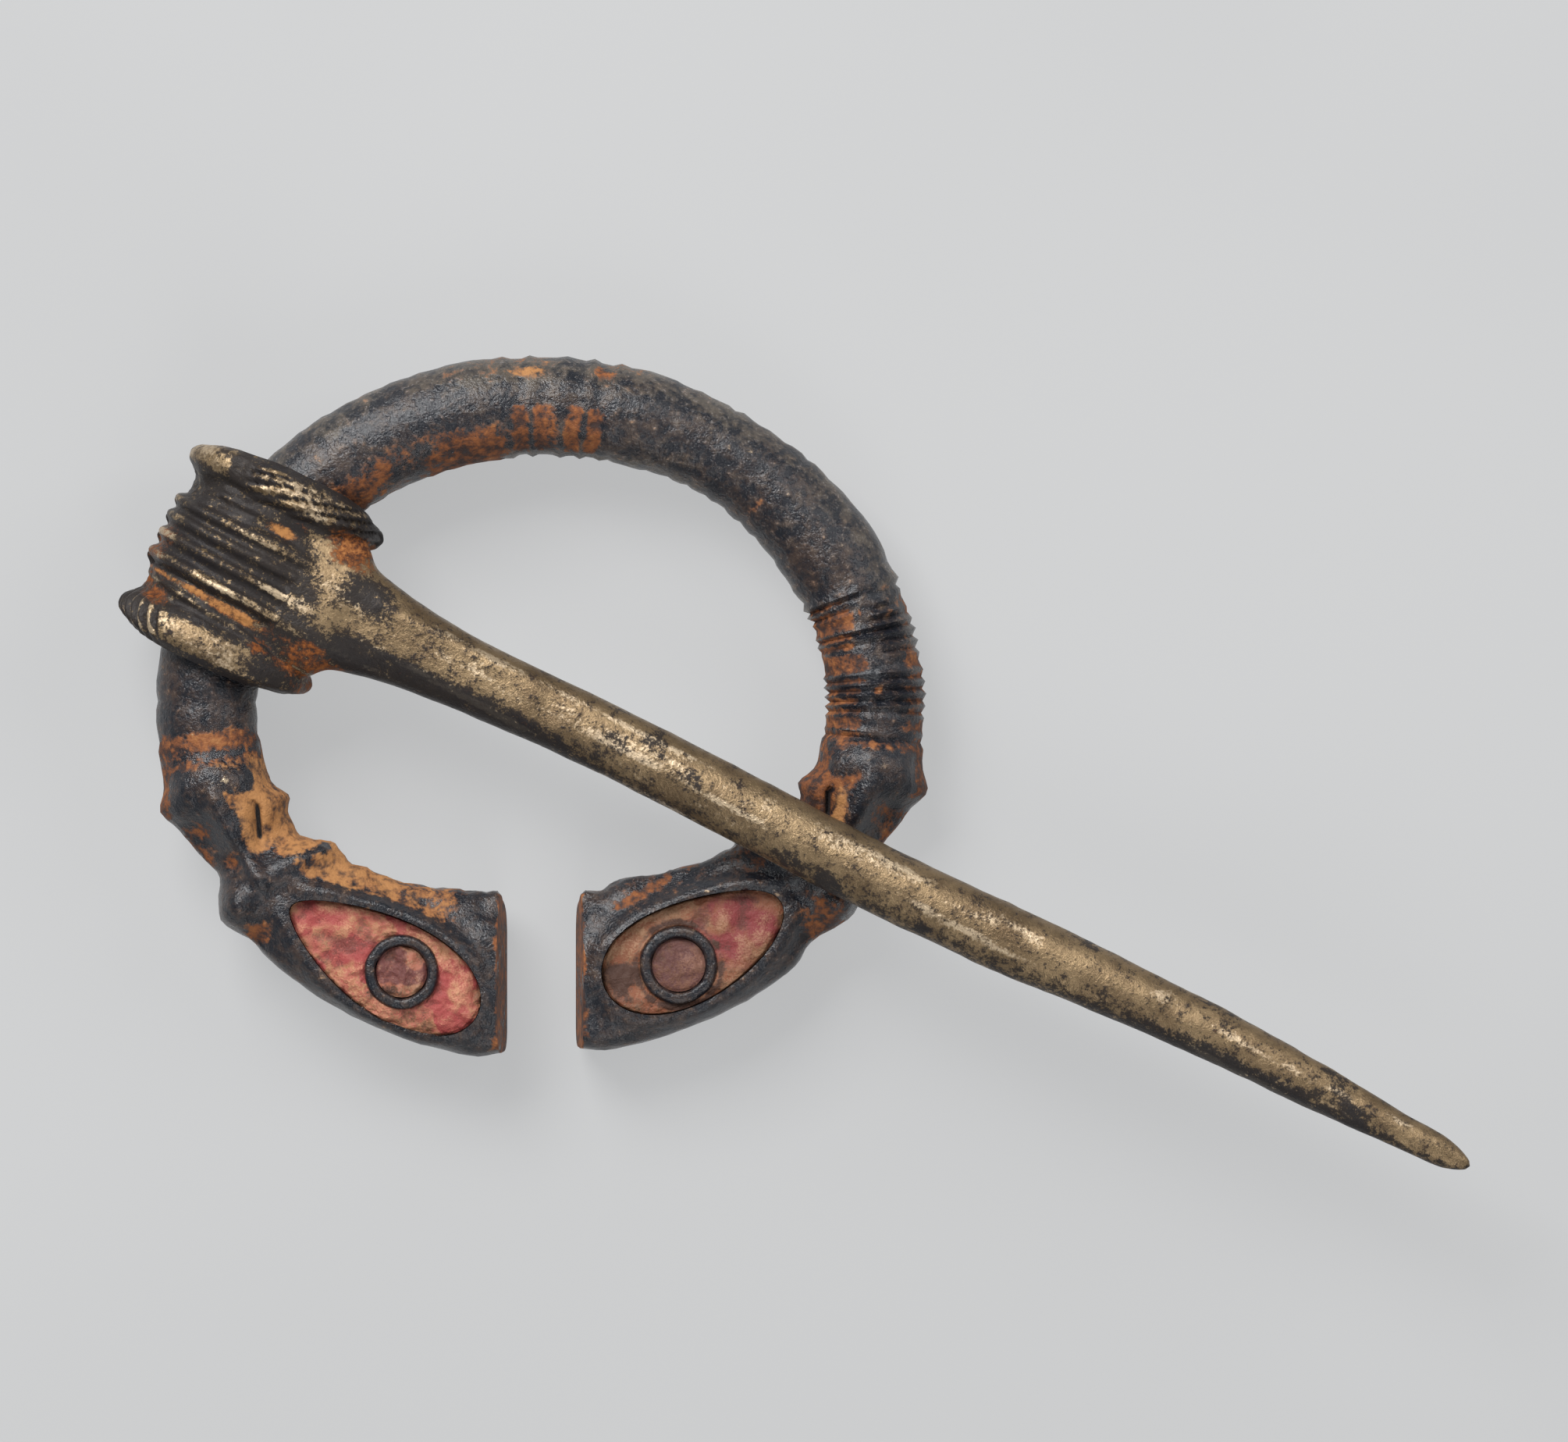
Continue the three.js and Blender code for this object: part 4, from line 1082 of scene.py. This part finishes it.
class BROOCH_OT_pin(Operator):
    """Shape the pin's barrel head and its shank, and join them"""

    bl_idname = "brooch.pin"
    bl_label = "Pin"

    # Where each ridge lies, and its slope across the head
    RIDGES = ((-1.95, -0.05), (-0.52, -0.05), (0.85, -0.03), (2.03, -0.02))
    DENTS = ((79.2, 0.9, 0.16), (83.0, 0.7, 0.1), (21.5, 1.5, 0.12), (27.0, 1.5, 0.07), (66.5, 1.3, 0.13))
    PROFILE_STEPS = 108
    BORE_STEPS = 14
    SHANK_START = 1.0

    def execute(self, context):
        form = Form(context.scene.brooch_sizes)
        pin = self.barrel(form, context.scene.brooch_detail.barrel_around)
        cut(pin, self.shank(form), "UNION")
        cut(pin, self.bore(form), "DIFFERENCE")
        self.soften_root(pin)
        self.mark(pin, form)
        pin.data.transform(Matrix.Translation((*form.head_at, 0)) @ Matrix.Rotation(form.pin_turn, 4, "Z"))
        pin.name = pin.data.name = "swinging_pin"
        material = bronze_finish(context.scene.brooch_colours)
        finish_piece(pin, form, "pin", material, ["pin"], "golden_bronze")
        return {"FINISHED"}

    def profile(self, form, y):
        """How far the barrel's wall stands out from the line of its ridges."""
        from_rim = np.abs(np.abs(y) - form.head_length / 2 + RIM)
        return 0.83 * np.exp(-((from_rim / RIM) ** 2.6)) - 0.3 * bump(np.abs(y), 3.5, 0.85) - 0.38

    def ridges(self, x, y):
        """The four rounded cords that cross the head, running a little askew."""
        return sum(0.46 * np.exp(-np.abs((y - at - slope * x) / 0.4) ** 2.6) for at, slope in self.RIDGES)

    def bowed(self, form, y, angle):
        """The rims are thicker in front, so both ends of the barrel swell outwards there."""
        share = np.clip((np.abs(y) - form.head_length / 2 + 1.7) / 1.7, 0, 1)
        skew = 1 + 0.25 * np.sign(y) * np.cos(angle)
        return y + np.sign(y) * form.head_bow * share * skew * np.maximum(0, np.sin(angle))

    def barrel(self, form, around):
        steps, inside = self.PROFILE_STEPS, self.BORE_STEPS
        obj, turn, roll = torus("barrel", around, steps + inside)
        half = form.head_length / 2
        outside = roll < steps
        back = half - 2 * half * (roll - steps + 0.5) / inside
        y = np.where(outside, -half + 2 * half * roll / (steps - 1), back)
        angle = turn / around * 2 * np.pi
        c, s = np.cos(angle), np.sin(angle)
        y_here = y + 0.13 * grain(columns(c, s, y / 5) * 5, 2.0, 25)
        profile = self.profile(form, y_here) - 0.5 * smooth(np.abs(y), half - 0.3, half)
        profile += self.cabling(form, angle, y)
        profile += self.ridges(form.head_wide * c * (s > 0), y_here)
        profile += self.hollow_relief(form.head_wide * c, y_here) * (s > 0)
        wide = (form.head_wide + profile) * squared(c, 0.9)
        tall = (form.head_tall + profile * 0.8) * squared(s, 0.9)
        place = self.bowed(form, y, angle)
        bore = form.bore_both_ways(place)
        points = columns(np.where(outside, wide, bore * c), place, np.where(outside, tall, bore * s))
        shape_to(obj, points)
        rough = 0.035 * layered(points, 1.2, 4, 21) + 0.07 * grain(points, 2.4, 23)
        hollow = smooth(np.abs(y), 2.4, 2.9) * smooth(np.abs(y), 4.7, 4.2)
        rough += hollow * (0.12 * layered(points * [0.5, 1.4, 1], 0.8, 3, 26) - 0.02)
        roughen(obj, points, rough * outside)
        return obj

    def bore(self, form):
        """Clears the root of the shank out of the hole that the hoop passes through."""
        obj, angle, along = ball("bore", 128, 48)
        y = (along * 2 - 1) * 8
        radius = (form.bore_both_ways(y) - 0.02) * np.minimum(1, 4 * np.sin(np.pi * along))
        shape_to(obj, columns(radius * np.cos(angle), y, radius * np.sin(angle)))
        return obj

    def cabling(self, form, angle, y):
        """Slanting cuts across both rims, worn away in places, and a pinch in the upper one."""
        rim = bump(np.abs(y), form.head_length / 2 - RIM, 0.95)
        x, front, low = form.head_wide * np.cos(angle), np.sin(angle) > 0, y < 0
        lower_cuts = angle * form.head_wide - 0.9 * (y + 5.3)
        upper_cuts = (self.bowed(form, y, angle) - 0.3 * x) / 0.66 + 0.3
        wave = np.abs(np.sin(np.pi * np.where(low, lower_cuts, upper_cuts)))
        fresh = smooth(angle, 1.95, 2.3) * smooth(angle, 3.6, 3.3) * low
        rope = 0.9 * window(x, -2.3, 6.6, 0.4) * front * ~low
        behind = 0.7 * smooth(np.abs(angle - np.pi * 1.5), 1.7, 1.2)
        cuts = -0.45 * (1 - wave) ** np.where(low, 1.0, 0.9) * highest(fresh, rope, behind)
        pinch = -0.35 * bump(x, -3.0, 0.6) * ~low * front
        swell = np.where(low, 0, 0.24 * bump(x, 1.6, 2.4) - 0.3 * bump(angle, 0.25, 0.3))
        return rim * (cuts + pinch + swell)

    def hollow_relief(self, x, y):
        """The thin ridge in the upper hollow, the flaking one in the lower, and the line under the ridges."""
        upper = 0.2 * bump(y, 3.6 + 0.03 * x, 0.2) * window(x, -5.6, 0.2, 0.8)
        lower = 0.28 * bump(y, -3.75 - 0.11 * x, 0.3) * window(x, -5.6, 3.4, 0.8)
        lines = 0.25 * bump(y, -2.6 - 0.05 * x, 0.2) + 0.25 * bump(y, 4.35, 0.25) * window(x, -4.5, 5, 1)
        return upper + lower - lines

    def shank(self, form):
        obj, angle, along = ball("shank", 64, 440)
        even = along - 0.02 * np.sin(2 * np.pi * along)
        x = self.SHANK_START + (form.pin_reach - self.SHANK_START) * even
        sway = 0.22 * np.sin(2 * np.pi * (x - 15) / 43) * smooth(x, 8, 22)
        c, s = np.cos(angle), np.sin(angle)
        power = 1 - 0.22 * smooth(x, 40, 12)
        end = smooth(along, 0, 0.003)
        y = form.shank_width(x) / 2 * squared(c, power) * end
        tall = form.shank_depth(x) / 2 * squared(s, power) + self.crest(x, y) * (s > 0)
        points = columns(x, sway + y, form.shank_middle(x) + tall * end)
        shape_to(obj, points)
        tip = smooth(x, 60, 76)
        rough = 0.025 * layered(points, 1.3, 3, 31)
        rough += (0.035 + 0.06 * tip) * layered(points * [0.5, 1, 1], 2.2, 2, 33)
        rough += 0.02 * layered(points * [0.35, 1, 1], 0.8, 3, 35)
        for at, turn, depth in self.DENTS:
            rough -= depth * bump(x, at, 0.9) * bump(angle, turn, 0.6)
        roughen(obj, points, rough * smooth(along, 0.01, 0.03))
        return obj

    def crest(self, x, y):
        """The long ridge and the facets on the front of the root, where the head's ridges run out."""
        ridge = 0.2 * bump(y, 1.75 - 0.02 * (x - 6), 0.55) * window(x, 6.5, 19, 2.5)
        side = -0.25 * smooth(y, -0.9, -2.2) * window(x, 8, 26, 3)
        run = 5.2 - 0.9 * y
        lines = 0.8 * self.ridges(x, y) * smooth(x, run + 1.2, run - 1.8) * smooth(x, 2.0, 3.5)
        return ridge + side + lines

    def soften_root(self, obj):
        """Rounds the join between barrel and shank."""
        p = points_of(obj)
        centre, size = np.array([5.4, 0, 3.0]), np.array([3.0, 5.4, 3.2])
        chosen = (np.abs((p - centre) / size) < 1).all(axis=1) & (np.hypot(p[:, 0], p[:, 2]) > 4.4)
        chosen &= np.abs(p[:, 1]) < 5.0
        select_only(obj, "VERT", chosen)
        bpy.ops.mesh.vertices_smooth(factor=0.5, repeat=9)
        bpy.ops.object.mode_set(mode="OBJECT")
        p = points_of(obj)
        weight = smooth(p[:, 0], 2.4, 3.4) * smooth(p[:, 0], 8.0, 5.0) * (p[:, 2] > 2.2) * chosen
        p[:, 2] += 0.35 * self.ridges(p[:, 0], p[:, 1]) * weight
        move_points(obj, p)

    def mark(self, obj, form):
        """Masks for dark metal and painted shade, crust, ochre, and worn edges with painted highlights."""
        p = points_of(obj)
        x, y, z = p.T
        reach, low = np.abs(y), y < 0
        broad, streak = layered(p, 3.2, 3, 41), layered(p * [0.4, 1, 1], 1.6, 3, 43)
        head = smooth(x + 0.3 * reach + 0.35 * y, 5.8, 4.2)
        head = np.maximum(head, smooth(reach, 3.7, 4.2) * smooth(x, 9, 7.5))
        angle = np.mod(np.arctan2(z / form.head_tall, x / form.head_wide), 2 * np.pi)
        unbowed = np.sign(y) * (reach - 0.75 * form.head_bow * smooth(reach, 4.4, 6.1) * (z > 0))
        across = y / np.maximum(form.shank_width(x) / 2, 0.3)
        # Rubbed tops of the cords, the thin ridges and the rims
        tops = smooth(self.ridges(x, y), 0.3, 0.44) * (reach < 2.8)
        tops *= np.where(np.abs(y - 0.85) < 0.6, 0.35, 1)
        upper_thin = bump(y, 3.6 + 0.03 * x, 0.22) * window(x, -5, 0.2, 0.6)
        thin = np.maximum(upper_thin, bump(y, -3.8 - 0.11 * x, 0.12) * 0.7)
        rims = smooth(self.profile(form, unbowed), 0.05, 0.3) * (reach > 4.2)
        rims *= np.where(low, smooth(x, 4.5, 0.5), 1)
        cuts = smooth(-self.cabling(form, angle, unbowed), 0.04, 0.14)
        # Painted shade on the upper rim towards the shank, and a painted highlight on its middle
        shade = 0.4 * window(x, 3.5, 9, 1.5) * smooth(y, 6.3, 5.2) - 0.35 * window(x, -2.5, 3.5, 1.0)
        rims *= (0.75 + 0.6 * broad + 0.4 * streak - np.where(low, 0, shade)) * (1 - cuts)
        worn = np.clip(highest(tops * (0.65 + 0.8 * streak), thin * (0.6 + 0.9 * streak), rims), 0, 1)
        # Painted shade as a stripe on the shank's lower side and on its underside, darker patches of the
        # shank, and the dark of the head with painted shade in its rope cuts
        # Painted shade: darker along the shank's lower side near the root and on its underside
        stripe = smooth(across, -0.22 + 0.15 * streak, -0.5) * smooth(x, 32, 15)
        under = smooth(z - form.shank_middle(x), 0.6, -0.6) * 0.45 + smooth(across, -0.4, -0.85) * 0.35
        # The first patch darkens the shank's lower side round 72 mm along
        patches = bump(x, 72, 10) * smooth(-y + 0.8 * broad, 0.0, 0.6) * 0.7
        patches += bump(x, 67, 3) * smooth(streak, 0.1, 0.4) * 0.55
        patches += 0.5 * smooth(broad, 0.35, 0.7) + 0.5 * bump(x, 60, 1.4) * smooth(streak, -0.2, 0.2)
        root = smooth(x, 26, 9) * (0.1 + 0.3 * smooth(broad, -0.1, 0.5))
        root += 0.75 * window(x, 6.0, 9.6, 0.8) * smooth(y, 0.5, 1.1) * smooth(y, 3.4, 2.2)
        dark = (0.9 * stripe + under + patches + root) * (1 - head)
        # The head's dark patina, with painted shade in the rope cuts
        paint(obj, "dark", dark + head * (0.85 - 0.85 * worn + 0.4 * cuts))
        # Crust in the hollows and the web of the root, ochre in the lower hollow
        hollow = np.where(low, window(y, -3.35 - 0.1 * x, -2.55, 0.2), window(y, 2.6, 4.6, 0.2))
        filled = np.where(low, 0.7 + 0.5 * broad + 0.5 * streak, -0.1 + 0.5 * streak)
        web = bump(x, 5.6, 1.6) * window(reach, 2.9, 5.0, 0.4) * np.where(low, 0.7, 1)
        crust = highest(
            hollow * filled * smooth(x, 7.5, 6) * smooth(x, -9, -5),
            web * 1.1,
            0.75 * bump(x, 7.4, 1.6) * smooth(y, -2.7, -3.4),
            1.4 * bump(x, 0.9, 1.0) * bump(y, 3.15, 0.32),
            0.5 * bump(x, -6.2, 0.9) * smooth(np.abs(y + 1), 2.2, 1.0),
            *(0.95 * spot(x * 0.6, y, (at * 0.6, up), size) * head for at, up, size in PIN_CRUST_SPOTS),
        )
        crust *= 1 - 0.85 * smooth(thin, 0.3, 0.6)
        crust *= 1 - 0.8 * bump(y, -2.55 - 0.05 * x, 0.2) * head
        paint(obj, "crust", crust * smooth(z, -3.5, 0))
        ochre = hollow * np.where(low & (x < 2.5), 0.75, 0.1) + 0.3 * web * ~low
        paint(obj, "ochre", ochre + bump(x, 0.9, 1.2) * bump(y, 3.15, 0.4))
        # Pale bronze on the worn places, weaker on the lower rim but full at its end away from the shank as a
        # painted highlight, painted highlight bands along the shank and a painted highlight spot near the tip
        glint = worn * (0.6 + 0.7 * streak)
        glint *= np.where(low & (reach > 4.2), 0.65 + 0.35 * smooth(x, -3, -5), 1)
        # Painted highlights: a band along the shank's upper side and a thinner one on its lower side
        lit = np.maximum(bump(across, 0.3, 0.22), 0.6 * bump(across, -0.45, 0.12) * smooth(x, 18, 30))
        glint += (1 - head) * 0.55 * lit * smooth(streak, -0.15, 0.35)
        # With a painted highlight spot near the tip
        paint(obj, "glint", glint + 0.8 * bump(x, 65.5, 0.9) * bump(y, 1.0, 0.5))


class BROOCH_OT_enamel(Operator):
    """Lay the rough enamel in both cells and inside the reserved rings"""

    bl_idname = "brooch.enamel"
    bl_label = "Enamel"

    GAP = 0.05
    SUNK = 0.4
    UNDER = 0.02  # the enamel's underside stands this far over the cell's floor

    def execute(self, context):
        form = Form(context.scene.brooch_sizes)
        c = context.scene.brooch_colours
        shades = {
            "rose": (c.rose, c.tan, (0.3, 0.05, 0.045)),
            "dull rose": ((0.3, 0.1, 0.06), (0.3, 0.15, 0.085), (0.12, 0.035, 0.03)),
            "rust": ((0.21, 0.07, 0.033), (0.26, 0.135, 0.07), c.crimson),
            "plum": (c.plum, (0.15, 0.062, 0.036), (0.05, 0.018, 0.02)),
        }
        made = {
            name: enamel_finish(f"{name} enamel", *three, c.enamel_dark)
            for name, three in shades.items()
        }
        pieces = {
            "left": (
                (self.field, "field", "rose", "rose_enamel"),
                (self.disc, "disc", "dull rose", "rose_enamel"),
            ),
            "right": (
                (self.field, "field", "rust", "rust_enamel"),
                (self.disc, "disc", "plum", "plum_enamel"),
            ),
        }
        for name, side in SIDES.items():
            for make, kind, look, slot_name in pieces[name]:
                piece = make(form, name, side)
                finish_piece(piece, form, "hoop", made[look], [f"enamel_{kind}_{name}"], slot_name)
        return {"FINISHED"}

    def lay(self, obj, form, side, x, y, edge, sink):
        """Gives a piece its crumbling face, which drops by edge, and its flat underside where sink is 1."""
        degree, v = form.across(x, y)
        flat = columns(x, y, side["sign"] * 3.0)
        left = side["sign"] < 0
        lumps = layered(flat, 1.3, 4, 51) * (1.5 if left else 1.0)
        ridged = 1 - np.abs(layered(flat, 0.9, 3, 57)) * (2.0 if left else 1.0)
        top = form.front_height(degree, np.clip(v, -1, 1)) - self.SUNK
        top = top + 0.12 * lumps + 0.09 * ridged - 0.08 - edge
        shape_to(obj, columns(x, y, top + (form.cell_floor + self.UNDER - top) * sink))
        self.mark(obj, form, side)
        # The crest mask is the face's lump height, read for painted highlights on the high lumps
        paint(obj, "crest", 0.5 + lumps * 0.6)
        return obj

    def mark(self, obj, form, side):
        p = points_of(obj)
        at = form.ring_middle(side)
        x, y = (p[:, 0] - at[0]) * side["sign"], p[:, 1] - at[1]
        blotch = layered(p * [1, 1, 0], 1.6, 3, 61)
        if side["sign"] < 0:
            patch = 0.75 * smooth(blotch, 0.05, 0.5)
            stain = 0.8 * bump(x, 1.0, 1.2) * bump(y, -1.2, 0.5) + 0.35 * smooth(-blotch, 0.5, 0.9)
        else:
            patch = bump(x, 4.0, 3.0) * bump(y, 2.4, 2.2) * (1.25 + 0.9 * blotch)
            stain = 1.05 * bump(x, -3.6, 1.0) * bump(y, -0.8, 1.2)
            stain += 0.6 * bump(x, 0.5, 2.2) * bump(y, -2.7, 0.5)
            stain += 0.35 * smooth(blotch, 0.1, 0.5) + 0.5 * bump(np.hypot(x, y) - 2.8, 0, 0.25)
        paint(obj, "patch", patch)
        paint(obj, "stain", stain)

    def field(self, form, name, side):
        """The enamel between the reserved ring and the wall of its cell."""
        around, top_steps, rest = 260, 40, 12
        obj, turn, roll = torus(f"enamel_almond_{name}", around, top_steps + rest)
        middle = form.ring_middle(side)
        reach = form.almond(side, self.GAP, around * 8) - middle
        bearing = np.arctan2(reach[:, 1], reach[:, 0])
        order = np.argsort(bearing)
        angle = (turn / around * 2 - 1) * np.pi
        far = np.interp(angle, bearing[order], np.hypot(*reach[order].T), period=2 * np.pi)
        near = side["ring"]["outer"] / 2 - 0.05
        floor_share = 1 - np.clip((roll - top_steps - 1) / (rest - 4), 0, 1)
        share = np.where(roll < top_steps, roll / (top_steps - 1), floor_share)
        down = np.clip((roll - top_steps + 1) / 3, 0, 1)
        up = np.clip((roll - (top_steps + rest - 3)) / 3, 0, 1)
        sink = np.where(roll < top_steps, 0, np.minimum(down, 1 - up))
        radius = near + (far - near) * share
        edge = 0.12 * smooth(share, 0.93, 1) + 0.08 * smooth(share, 0.07, 0)
        x, y = middle[0] + radius * np.cos(angle), middle[1] + radius * np.sin(angle)
        return self.lay(obj, form, side, x, y, edge, sink)

    def disc(self, form, name, side):
        """The enamel inside the reserved ring."""
        obj, angle, along = ball(f"enamel_spot_{name}", 72, 72)
        middle = form.ring_middle(side)
        share = np.clip(np.minimum(along, 1 - along) / 0.46, 0, 1)
        radius = (side["ring"]["inner"] / 2 - 0.03) * share
        x, y = middle[0] + radius * np.cos(angle), middle[1] + radius * np.sin(angle)
        return self.lay(obj, form, side, x, y, 0.1 * smooth(share, 0.85, 1), smooth(along, 0.46, 0.54))


class BROOCH_PT_panel(Panel):
    """Sizes and steps of the brooch"""

    bl_label = "Penannular brooch"
    bl_space_type = "VIEW_3D"
    bl_region_type = "UI"
    bl_category = "Brooch"

    def draw(self, context):
        scene = context.scene
        for group in (scene.brooch_sizes, scene.brooch_colours, scene.brooch_detail):
            column = self.layout.column()
            for name in group.__annotations__:
                column.prop(group, name)
        for step in STEPS:
            self.layout.operator(step.bl_idname)


STEPS = (BROOCH_OT_stage, BROOCH_OT_ring, BROOCH_OT_pin, BROOCH_OT_enamel)
GROUPS = {"brooch_sizes": BroochSizes, "brooch_colours": BroochColours, "brooch_detail": BroochDetail}


def register():
    for item in (*GROUPS.values(), *STEPS, BROOCH_PT_panel):
        bpy.utils.register_class(item)
    for name, group in GROUPS.items():
        setattr(bpy.types.Scene, name, PointerProperty(type=group))


def unregister():
    for name in GROUPS:
        delattr(bpy.types.Scene, name)
    for item in reversed((*GROUPS.values(), *STEPS, BROOCH_PT_panel)):
        bpy.utils.unregister_class(item)


def main():
    register()
    bpy.ops.brooch.stage()
    bpy.ops.brooch.ring()
    bpy.ops.brooch.pin()
    bpy.ops.brooch.enamel()
    boxes = {"cad": CAD_BOX, "visual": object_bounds()}
    {name: [list(map(float, corner)) for corner in box] for name, box in boxes.items()}


if __name__ == "__main__":
    main()
